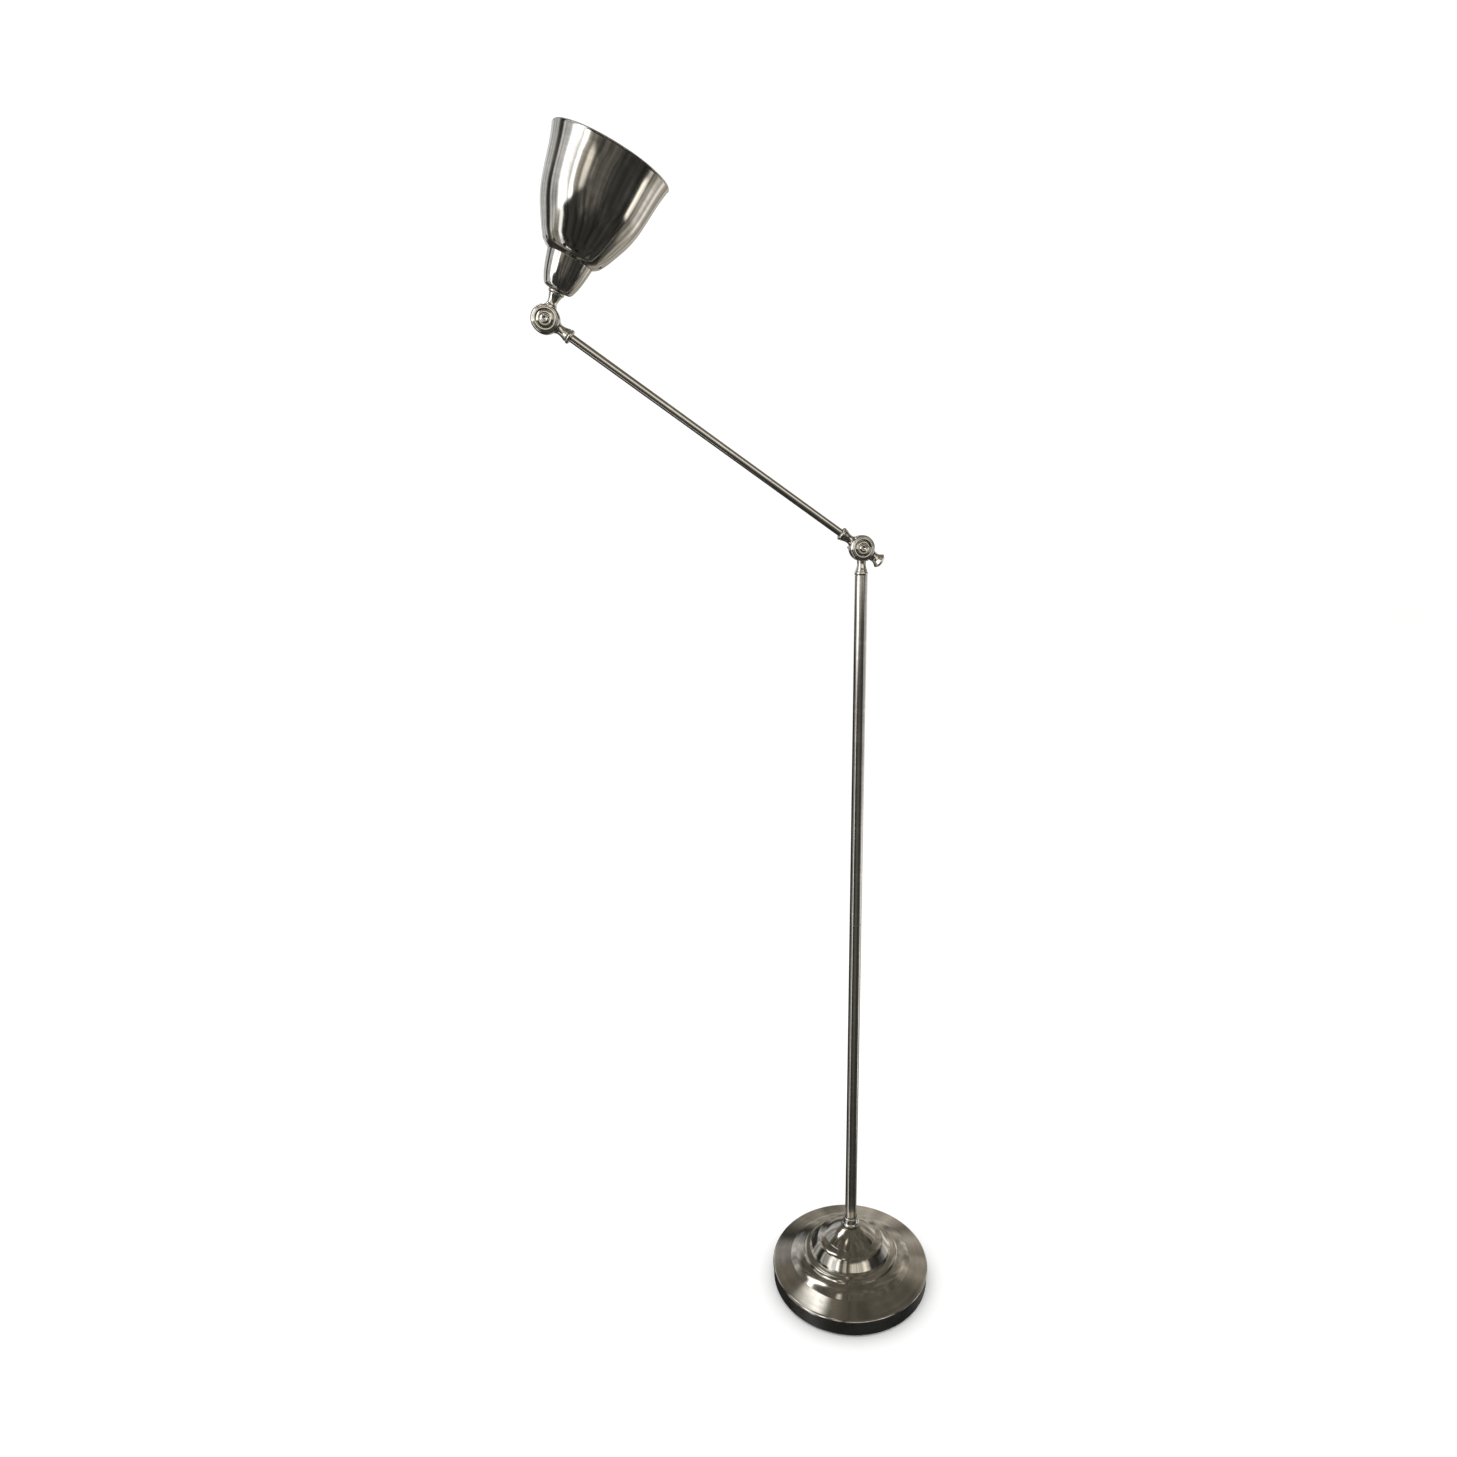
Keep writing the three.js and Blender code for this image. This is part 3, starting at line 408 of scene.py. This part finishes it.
def opal_glass(name):
    surface = Surface(name, Coat_Weight=0.6, Coat_Roughness=0.05, Subsurface_Weight=0.25)
    frost = surface.noise(surface.place, 260.0, detail=4.0)
    depth = surface.noise(surface.place, 18.0, detail=2.0)
    surface.colour(depth, (0.84, 0.82, 0.77), (0.92, 0.9, 0.86))
    surface.roughness(surface.spread(frost, 0.22, 0.32))
    surface.bump(frost, 0.04, 0.0001)
    return surface.material


def make_materials():
    return {
        # Painted shade: the satin nickel of the base and the columns has a darker tone than the polished nickel,
        # standing in for the dimmer room that they mirror. Its lower smear and its marks belong to the satin
        # finish.
        "satin_nickel": spun_metal("satin_nickel", (0.51, 0.48, 0.425), polish=0.095, marks=0.12, smear=0.25),
        "polished_nickel": spun_metal("polished_nickel", (0.66, 0.635, 0.585), polish=0.09, marks=0.10,
                                      smear=0.45, waves=0.06),
        "bright_nickel": spun_metal("bright_nickel", (0.78, 0.75, 0.68), polish=0.12, marks=0.06, smear=0.2),
        "plain_steel": cut_steel("plain_steel"),
        "brass": brass("brass"),
        "black_iron": coated("black_iron", (0.008, 0.008, 0.0075), (0.016, 0.016, 0.0145), rough=0.3,
                             grain_size=700.0, depth=0.00012, scuffs=0.18),
        "rubber": coated("rubber", (0.012, 0.012, 0.012), (0.02, 0.02, 0.02), rough=0.75,
                         grain_size=900.0, depth=0.0002),
        "wire_sheath": coated("wire_sheath", (0.014, 0.014, 0.015), (0.024, 0.024, 0.024), rough=0.5,
                              grain_size=1100.0, depth=0.0001),
        "felt": felt("felt"),
        "phenolic": coated("phenolic", (0.018, 0.014, 0.011), (0.032, 0.026, 0.021), rough=0.3,
                           grain_size=500.0, depth=0.0001),
        "opal_glass": opal_glass("opal_glass"),
    }


SLOT_OF = {part["node"]: part["material_slot"] for part in frame["record"]["subparts"]}
BODY_OF = {node: body for body, nodes in frame["record"]["behaviour"]["bodies"].items() for node in nodes}

# ---------------------------------------------------------------- profiles

RING_STEP = 0.00002  # vertices whose heights and radii agree this closely are on one ring
ON_AXIS = 1e-5
ON_STEP = 0.004  # of a step round the axis
SAME_PLACE = 1e-6
LEAST_TURN = 1  # degrees; a smaller turn is no corner
MOST_OF_EDGE = 0.46  # that a fillet may take up


def cad_profile(node, origin, axis):
    """A turned CAD node's outline: (points, closed), each point (height along the axis, radius)."""
    places = corners(node) - np.array(origin)
    heights = places @ np.array(axis)
    radii = np.linalg.norm(places - heights[:, None] * np.array(axis), axis=1)
    rings, members = rings_of(heights, radii)
    widest = rings[int(np.argmax([radii[ring].mean() for ring in rings]))]
    count = len(np.unique(places[widest].round(5), axis=0))
    turned = [on_steps(places[ring], axis, places[widest[0]], count) for ring in rings]
    poles = [radii[ring].max() < ON_AXIS for ring in rings]
    whole = [found >= count / 2 or pole for found, pole in zip(turned, poles)]
    links = {ring: set() for ring in range(len(rings)) if whole[ring]}
    for edge in frame["nodes"][node].data.edges:
        a, b = (members[vertex] for vertex in edge.vertices)
        if a != b and whole[a] and whole[b]:
            links[a].add(b)
            links[b].add(a)
    path, closed = walked(links)
    return [Vector((heights[rings[ring]].mean(), radii[rings[ring]].mean())) for ring in path], closed


def rings_of(heights, radii):
    """The vertices sorted into rings of one height and radius: (rings, each vertex's ring)."""
    keys = np.round(np.stack([heights, radii], 1) / RING_STEP).astype(int)
    rings, ring_of = [], {}
    for key in map(tuple, keys):
        near = next((ring_of[k] for k in neighbours(key) if k in ring_of), None)
        if near is None:
            near = len(rings)
            rings.append([])
        ring_of[key] = near
    members = np.array([ring_of[tuple(key)] for key in keys])
    for vertex, ring in enumerate(members):
        rings[ring].append(vertex)
    return rings, members


def neighbours(key):
    return [(key[0] + i, key[1] + j) for i in (0, -1, 1) for j in (0, -1, 1)]


def walked(links):
    """The linked rings in order along the outline, and whether the outline is closed."""
    ends = [ring for ring, near in links.items() if len(near) == 1]
    path = [min(ends) if ends else min(links)]
    while True:
        onward = [ring for ring in sorted(links[path[-1]]) if ring not in path]
        if not onward:
            return path, not ends
        path.append(onward[0])


def on_steps(places, axis, first, count):
    """How many places lie at whole steps round the axis from the first one: a drilled hole's edge doesn't."""
    side = Vector(first) - axis * axis.dot(Vector(first))
    other = axis.cross(side)
    angles = np.arctan2(places @ np.array(other), places @ np.array(side)) * count / (2 * math.pi)
    steps = np.round(angles)
    return len(np.unique(steps[np.abs(angles - steps) < ON_STEP] % count))


def turns_out(points, index):
    """Whether the outline bulges outwards at this point, seen against the way that it runs round."""
    before, point, after = points[index - 1], points[index], points[(index + 1) % len(points)]
    area = sum(a.cross(b) for a, b in zip(points, [*points[1:], points[0]]))
    return (point - before).cross(after - point) * area > 0


def rounded(points, closed, fillet, soft_turn=0.0, steps=5, crisp_creases=False):
    """The outline with its corners rounded. A turn under `soft_turn` degrees is one of a curve's and is
    rounded over half of both its edges; any other corner is rounded over `fillet`, or what its edges allow.
    With `crisp_creases` a hollow corner is never taken for a curve's."""
    count = len(points)
    out = []
    for index, point in enumerate(points):
        if not closed and index in (0, count - 1):
            out.append(point)
            continue
        before, after = points[index - 1], points[(index + 1) % count]
        inward, outward_edge = point - before, after - point
        turn = math.degrees(inward.angle(outward_edge, 0))
        if turn < LEAST_TURN:
            out.append(point)
            continue
        room = min(inward.length, outward_edge.length)
        soft = turn < soft_turn and (turns_out(points, index) or not crisp_creases)
        reach = 0.5 * room if soft else min(fillet, MOST_OF_EDGE * room)
        start, end = point - inward.normalized() * reach, point + outward_edge.normalized() * reach
        for step in range(steps + 1):
            share = step / steps
            bent = start.lerp(point, share).lerp(point.lerp(end, share), share)
            if not out or (out[-1] - bent).length > SAME_PLACE:
                out.append(bent)
    return out


def divided(points, closed, longest):
    """The outline with its long edges cut up, so that no edge is longer than `longest`."""
    out = []
    last = len(points) if closed else len(points) - 1
    for index in range(last):
        start, end = points[index], points[(index + 1) % len(points)]
        parts = max(1, math.ceil((end - start).length / longest))
        out += [start.lerp(end, part / parts) for part in range(parts)]
    return out if closed else [*out, points[-1]]


# ---------------------------------------------------------------- meshes

def square_axes(axis):
    """Two directions square to the axis and to each other."""
    side = axis.cross(ELBOW_HINGE)
    if side.length < 0.5:
        side = axis.cross(UP)
    side.normalize()
    return side, axis.cross(side).normalized()


def spoke(side, other, angle):
    """The direction at this angle, from `side` towards `other`."""
    return side * math.cos(angle) + other * math.sin(angle)


def turned_mesh(name, points, closed, origin, axis, segments):
    """The outline turned about the axis, with a UV map of the distance round it and along the outline."""
    side, other = square_axes(axis)
    rows = []
    vertices = []
    for height, radius in points:
        if radius < SAME_PLACE:
            rows.append([len(vertices)] * segments)
            vertices.append(origin + axis * height)
            continue
        rows.append(list(range(len(vertices), len(vertices) + segments)))
        for step in range(segments):
            out = spoke(side, other, 2 * math.pi * step / segments)
            vertices.append(origin + axis * height + out * radius)
    lengths = [0.0]
    ring = [*points, points[0]] if closed else points
    for a, b in zip(ring, ring[1:]):
        lengths.append(lengths[-1] + (b - a).length)
    widest = max(radius for _, radius in points)
    faces, face_uvs = [], []
    for index in range(len(ring) - 1):
        low, high = rows[index], rows[(index + 1) % len(rows)]
        for step in range(segments):
            onward = (step + 1) % segments
            face = [low[step], low[onward], high[onward], high[step]]
            uv = [(step, index), (step + 1, index), (step + 1, index + 1), (step, index + 1)]
            kept = [i for i in range(4) if face[i] != face[i - 1]]
            if len(kept) < 3:
                continue
            faces.append([face[i] for i in kept])
            face_uvs.append([(2 * math.pi * widest * uv[i][0] / segments, lengths[uv[i][1]]) for i in kept])
    mesh = bpy.data.meshes.new(name)
    mesh.from_pydata(vertices, [], faces)
    layer = mesh.uv_layers.new(name="UVMap")
    flat = [number for corner in face_uvs for pair in corner for number in pair]
    layer.data.foreach_set("uv", flat)
    return outward(mesh)


def outward(mesh):
    """The mesh with its faces pointing out and shaded smooth."""
    work = bmesh.new()
    work.from_mesh(mesh)
    bmesh.ops.recalc_face_normals(work, faces=work.faces)
    if work.calc_volume(signed=True) < 0:
        bmesh.ops.reverse_faces(work, faces=work.faces)
    for face in work.faces:
        face.smooth = True
    work.to_mesh(mesh)
    work.free()
    return mesh


def add_object(name, mesh):
    piece = bpy.data.objects.new(name, mesh)
    bpy.context.scene.collection.objects.link(piece)
    return piece


def bake_modifiers(piece):
    """The piece's mesh with its modifiers applied."""
    graph = bpy.context.evaluated_depsgraph_get()
    done = bpy.data.meshes.new_from_object(piece.evaluated_get(graph))
    piece.modifiers.clear()
    old = piece.data
    piece.data = done
    bpy.data.meshes.remove(old)


def combine(piece, tool, operation):
    """Joins or cuts the piece with the tool, and removes the tool."""
    modifier = piece.modifiers.new("combine", "BOOLEAN")
    modifier.operation = operation
    modifier.solver = "EXACT"
    modifier.object = tool
    bake_modifiers(piece)
    bpy.data.objects.remove(tool)


def gathered(name, tools):
    """Separate tools as one object, so that they cut together."""
    work = bmesh.new()
    for tool in tools:
        work.from_mesh(tool.data)
        bpy.data.objects.remove(tool)
    mesh = bpy.data.meshes.new(name)
    work.to_mesh(mesh)
    work.free()
    return add_object(name, mesh)


LARGE_FACE_WEIGHT = 60
HARD_EDGE = math.radians(32)


def weighted(piece):
    """Shading that keeps flat faces flat next to small fillets."""
    modifier = piece.modifiers.new("weighted_normals", "WEIGHTED_NORMAL")
    modifier.weight = LARGE_FACE_WEIGHT
    bake_modifiers(piece)


def stand_for(piece, node):
    """Puts the piece in the CAD node's place: its body, its slot and its finish."""
    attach(piece, BODY_OF[node])
    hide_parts(node)
    piece.data.materials.clear()
    piece.data.materials.append(MATERIALS[SLOT_OF[node]])


def turned_piece(node, origin, axis, fillet, segments=96, soft_turn=0.0, longest=None, steps=5,
                 crisp_creases=False):
    """A finely rounded copy of a turned CAD node."""
    points, closed = cad_profile(node, origin, axis)
    points = rounded(points, closed, fillet, soft_turn, steps, crisp_creases)
    if longest:
        points = divided(points, closed, longest)
    piece = add_object(node + "_fine", turned_mesh(node, points, closed, origin, axis, segments))
    weighted(piece)
    stand_for(piece, node)
    return piece


# ---------------------------------------------------------------- knuckles

DRUM_RADIUS = 16 * MM
DRUM_HALF = 8.2 * MM
DRUM_GAP = 0.7 * MM
DRUM_EDGE = DRUM_HALF - 3.6 * MM  # height at which its plain rim ends
RECESS_RADIUS = 10.3 * MM
RECESS_FLOOR = 2.6 * MM
PIVOT_HOLE = 3.3 * MM
NECK_ROOT = RECESS_RADIUS + 2.5 * MM
NECK_WAIST = 5.4 * MM
NECK_MOUTH = 7.7 * MM
NECK_LENGTH = 28.4 * MM
NECK_FLARE = 1.5 * MM  # at its root
SLIM_NECK_FLARE = 0.3 * MM  # of the neck that the stop ears come to rest against
SWEEP_RADIUS = DRUM_RADIUS + 0.5 * MM
SPIGOT_END = 47 * MM
COLUMN_SPIGOT = 6.5 * MM
ARM_SPIGOT = 3.45 * MM
WIRE_BORE = 2.3 * MM
WIRE_BORE_END = 60 * MM
BOSS_RADIUS = 6.2 * MM
BOSS_END = 19.4 * MM
EAR_RADIUS = 1.5 * MM
EAR_GAP = 0.05 * MM
STOP_EARS = (31, 153)  # degrees from the arm's line, towards its underside


def loose_turned(name, outline, closed, origin, axis, segments, fillet, steps=5, soft_turn=0.0):
    """An outline of heights and radii, rounded and turned about the axis, that stands for nothing yet."""
    points = rounded([Vector(point) for point in outline], closed, fillet, soft_turn, steps)
    return add_object(name, turned_mesh(name, points, closed, origin, axis, segments))


def rod(name, low, high, radius, origin, axis, segments, fillet=0.0):
    """A plain round rod between two heights on the axis."""
    outline = [(low, 0), (low, radius), (high, radius), (high, 0)]
    return loose_turned(name, outline, False, origin, axis, segments, fillet)


def make_drum(name, pivot, outwards):
    """The stepped half drum, with its pivot hole and the recess for its cap."""
    return loose_turned(name, [
        (DRUM_GAP, PIVOT_HOLE),
        (DRUM_GAP, DRUM_RADIUS),
        (DRUM_EDGE, DRUM_RADIUS),
        (DRUM_HALF - 2.2 * MM, DRUM_RADIUS - 0.9 * MM),
        (DRUM_HALF - 1.25 * MM, DRUM_RADIUS - 2.3 * MM),
        (DRUM_HALF - 1.2 * MM, DRUM_RADIUS - 2.9 * MM),
        (DRUM_HALF - 0.5 * MM, DRUM_RADIUS - 3.15 * MM),
        (DRUM_HALF, RECESS_RADIUS + 1.5 * MM),
        (DRUM_HALF - 0.1 * MM, RECESS_RADIUS),
        (RECESS_FLOOR, RECESS_RADIUS),
        (RECESS_FLOOR, PIVOT_HOLE),
    ], True, pivot, outwards, 128, 0.45 * MM, soft_turn=30)


def make_neck(pivot, axis, flare):
    """The trumpet neck, from inside the drum out to its mouth."""
    return loose_turned("neck", [
        (NECK_ROOT, 0),
        (NECK_ROOT, NECK_WAIST + flare),
        (DRUM_RADIUS - 0.6 * MM, NECK_WAIST + flare),
        (DRUM_RADIUS + 1.4 * MM, NECK_WAIST + 0.15 * MM),
        (NECK_LENGTH - 8 * MM, NECK_WAIST),
        (NECK_LENGTH - 4.5 * MM, NECK_WAIST + 0.7 * MM),
        (NECK_LENGTH - 1.6 * MM, NECK_MOUTH - 0.5 * MM),
        (NECK_LENGTH, NECK_MOUTH),
        (NECK_LENGTH, 0),
    ], False, pivot, axis, 96, 0.3 * MM, soft_turn=40)


def make_boss(pivot, axis):
    """The boss that the locking screw turns in."""
    return loose_turned("boss", [
        (NECK_ROOT, 0),
        (NECK_ROOT, BOSS_RADIUS + MM),
        (DRUM_RADIUS, BOSS_RADIUS + 0.6 * MM),
        (DRUM_RADIUS + 1.6 * MM, BOSS_RADIUS),
        (BOSS_END, BOSS_RADIUS),
        (BOSS_END, 0),
    ], False, pivot, axis, 96, 0.3 * MM)


def knuckle_half(node, pivot, outwards, neck_axis, flare=NECK_FLARE, spigot=0.0, boss_axis=None, ears=()):
    """One half of a knuckle: a drum half and a trumpet neck, with a spigot into its tube, a boss and stop
    ears where it has them. `outwards` points from the middle plane to this half's outer face."""
    drum = make_drum(node + "_fine", pivot, outwards)
    other_half = rod("sweep", -DRUM_GAP, DRUM_HALF * 2, SWEEP_RADIUS, pivot, -outwards, 128)
    neck = make_neck(pivot, neck_axis, flare)
    combine(neck, duplicate(other_half), "DIFFERENCE")
    combine(drum, neck, "UNION")
    if spigot:
        inner = rod("spigot", NECK_LENGTH - MM, SPIGOT_END, spigot, pivot, neck_axis, 64, 0.3 * MM)
        combine(drum, inner, "UNION")
    if boss_axis:
        boss = make_boss(pivot, boss_axis)
        combine(boss, duplicate(other_half), "DIFFERENCE")
        combine(drum, boss, "UNION")
    for ear_axis in ears:
        centre = pivot + ear_axis * (DRUM_RADIUS + 0.3 * MM)
        ear = rod("ear", DRUM_GAP + EAR_GAP, DRUM_EDGE, EAR_RADIUS, centre, outwards, 32, 0.4 * MM)
        combine(drum, ear, "UNION")
    hole = rod("bore", DRUM_RADIUS - 2 * MM, WIRE_BORE_END, WIRE_BORE, pivot, neck_axis, 48)
    combine(drum, hole, "DIFFERENCE")
    bpy.data.objects.remove(other_half)
    finish_edges(drum)
    stand_for(drum, node)


def duplicate(source):
    copy = source.copy()
    copy.data = source.data.copy()
    bpy.context.scene.collection.objects.link(copy)
    return copy


def finish_edges(piece):
    """Shades a joined piece smooth, with a hard edge only where two faces meet at a real corner."""
    for polygon in piece.data.polygons:
        polygon.use_smooth = True
    work = bmesh.new()
    work.from_mesh(piece.data)
    bmesh.ops.remove_doubles(work, verts=work.verts, dist=SAME_PLACE)
    for edge in work.edges:
        edge.smooth = not (edge.is_manifold and edge.calc_face_angle(0) > HARD_EDGE)
    work.to_mesh(piece.data)
    work.free()


# ---------------------------------------------------------------- the sub-parts

# The weight's section, from the nut's recess round the outside to the rod's hole: height and radius in mm
WEIGHT_OUTLINE = [(1.8, 17), (1.8, 107), (3.3, 108.5), (21, 108.5), (21, 26), (34.8, 26), (34.8, 5.3),
                  (25.8, 5.3), (25.8, 17)]
WEIGHT_RADIUS = max(radius for _, radius in WEIGHT_OUTLINE) * MM
BACK = Vector((0, 1, 0))
INLET_LENGTH = 12 * MM
INLET_HOLE = 5.3 * MM
CHANNEL_HALF = 2.3 * MM


def in_metres(outline):
    return [(height * MM, radius * MM) for height, radius in outline]


def block(name, low, high):
    """A plain box between two opposite corners."""
    work = bmesh.new()
    places = [(x, y, z) for x in (low[0], high[0]) for y in (low[1], high[1]) for z in (low[2], high[2])]
    bmesh.ops.convex_hull(work, input=[work.verts.new(place) for place in places])
    mesh = bpy.data.meshes.new(name)
    work.to_mesh(mesh)
    work.free()
    return add_object(name, outward(mesh))


def make_weight():
    """The weight, with the recess for its nut and the wire's channel from the inlet to the middle."""
    weight = loose_turned("base_weight_fine", in_metres(WEIGHT_OUTLINE), True, BASE, UP, 256, 0.7 * MM)
    inlet = middle("cord_inlet")
    start = Vector((0, WEIGHT_RADIUS - INLET_LENGTH - MM, inlet.z))
    combine(weight, rod("inlet_hole", 0, INLET_LENGTH + 2 * MM, INLET_HOLE, start, BACK, 64), "DIFFERENCE")
    far_corner = (CHANNEL_HALF, WEIGHT_RADIUS - INLET_LENGTH, inlet.z + CHANNEL_HALF)
    combine(weight, block("channel", (-CHANNEL_HALF, 0, 0), far_corner), "DIFFERENCE")
    finish_edges(weight)
    stand_for(weight, "base_weight")


def make_base():
    turned_piece("base_pad", BASE, UP, segments=192, fillet=0.5 * MM)
    make_weight()
    turned_piece("cord_inlet", middle("cord_inlet"), BACK, segments=64, fillet=0.3 * MM)
    turned_piece("base_cover", BASE, UP, segments=256, fillet=0.55 * MM, soft_turn=46, longest=3 * MM,
                 steps=7, crisp_creases=True)
    turned_piece("foot_collar", BASE, UP, segments=128, fillet=0.5 * MM)


def make_column():
    for node in ("lower_column", "upper_column"):
        turned_piece(node, BASE, UP, fillet=0.25 * MM, longest=30 * MM, steps=3)
    turned_piece("column_top_collar", ELBOW, -UP, fillet=0.3 * MM, soft_turn=60)


# The caps, from the dimple's floor out over the raised ring and the rim to the hollow inside: height above
# the knuckle's middle plane and radius, in mm
CAP_OUTLINE = [(8.3, 0), (8.3, 0.9), (9.3, 2.2), (9.55, 2.9), (9.5, 3.5), (8.7, 4.6), (8.3, 5.3),
               (8.35, 5.8), (8.85, 6.5), (8.75, 7.3), (8.35, 8.3), (7.8, 9.4), (2.9, 9.4), (2.9, 8.5),
               (6.8, 8.5), (7.4, 0)]


def make_cap(node, pivot, outwards):
    outline = in_metres(CAP_OUTLINE)
    cap = loose_turned(node + "_fine", outline, False, pivot, outwards, 128, 0.2 * MM, steps=6, soft_turn=58)
    weighted(cap)
    stand_for(cap, node)


def make_knuckles():
    for knuckle, pivot, hinge in (("elbow", ELBOW, ELBOW_HINGE), ("tilt", TILT, TILT_HINGE)):
        make_cap(knuckle + "_front_cap", pivot, -hinge)
        make_cap(knuckle + "_rear_cap", pivot, hinge)
    ears = [Matrix.Rotation(math.radians(-angle), 3, ELBOW_HINGE) @ ARM for angle in STOP_EARS]
    knuckle_half("elbow_column_half", ELBOW, -ELBOW_HINGE, -UP, flare=SLIM_NECK_FLARE, spigot=COLUMN_SPIGOT)
    knuckle_half("elbow_arm_half", ELBOW, ELBOW_HINGE, ARM, spigot=ARM_SPIGOT, boss_axis=-ARM, ears=ears)
    knuckle_half("tilt_arm_half", TILT, TILT_HINGE, -ARM, spigot=ARM_SPIGOT)
    knuckle_half("tilt_head_half", TILT, -TILT_HINGE, SHADE)
    for knuckle, pivot, hinge in (("elbow", ELBOW, ELBOW_HINGE), ("tilt", TILT, TILT_HINGE)):
        turned_piece(knuckle + "_friction_washer", pivot, hinge, segments=128, fillet=0.1 * MM)


def make_arm():
    turned_piece("arm_tube", ELBOW, ARM, segments=64, fillet=0.2 * MM, longest=30 * MM, steps=3)
    for node in ("arm_lower_collar", "arm_upper_collar"):
        turned_piece(node, ELBOW, ARM, fillet=0.3 * MM, soft_turn=60)
    turned_piece("lock_knob", ELBOW, -ARM, fillet=0.9 * MM, soft_turn=35, steps=6)


def make_head():
    turned_piece("cup_ring", TILT, SHADE, fillet=0.3 * MM, soft_turn=60)
    turned_piece("socket_cup", TILT, SHADE, segments=192, fillet=0.4 * MM, soft_turn=40, longest=3 * MM,
                 steps=8)
    make_shade()
    turned_piece("lampholder", TILT, SHADE, segments=128, fillet=0.6 * MM)
    turned_piece("shade_ring", TILT, SHADE, segments=128, fillet=0.6 * MM)
    turned_piece("bulb_cap", TILT, SHADE, fillet=0.5 * MM)
    turned_piece("bulb_glass", TILT, SHADE, segments=128, fillet=0.5 * MM, soft_turn=40, steps=8)


VENT_COUNT = 16
VENT_RADIUS = 2.1 * MM
VENT_REACH = 2 * VENT_RADIUS
VENT_RISE = 6.5 * MM  # above the shade's lower edge


def make_shade():
    """The bell with its rolled rim, and a row of round vents drilled square to its wall above the cup."""
    shade = turned_piece("shade", TILT, SHADE, segments=256, fillet=0.25 * MM, soft_turn=30, longest=4 * MM,
                         steps=8)
    points, _ = cad_profile("shade", TILT, SHADE)
    height = min(point[0] for point in points) + VENT_RISE
    low, high = outer_edge_at(points, height)
    radius = low[1] + (high[1] - low[1]) * (height - low[0]) / (high[0] - low[0])
    flare = math.atan2(high[1] - low[1], high[0] - low[0])
    side, other = square_axes(SHADE)
    drills = []
    for vent in range(VENT_COUNT):
        out = spoke(side, other, 2 * math.pi * (vent + 0.5) / VENT_COUNT)
        centre = TILT + SHADE * height + out * radius
        drill_axis = out * math.cos(flare) - SHADE * math.sin(flare)
        drills.append(rod("drill", -VENT_REACH, VENT_REACH, VENT_RADIUS, centre, drill_axis, 40))
    combine(shade, gathered("drills", drills), "DIFFERENCE")
    finish_edges(shade)


def outer_edge_at(points, height):
    """The outline's outermost edge that crosses this height, lower end first."""
    edges = zip(points, [*points[1:], points[0]])
    crossing = [sorted(edge, key=lambda point: point[0]) for edge in edges
                if min(edge[0][0], edge[1][0]) < height < max(edge[0][0], edge[1][0])]
    return max(crossing, key=lambda edge: edge[0][1] + edge[1][1])


def dress_frame():
    """Gives the CAD nodes that stay their finishes."""
    for node, piece in frame["nodes"].items():
        piece.data.materials.clear()
        piece.data.materials.append(MATERIALS[SLOT_OF[node]])


make_camera()
make_light()
make_floor()
MATERIALS = make_materials()
dress_frame()
make_base()
make_column()
make_knuckles()
make_arm()
make_head()

bpy.context.view_layer.update()
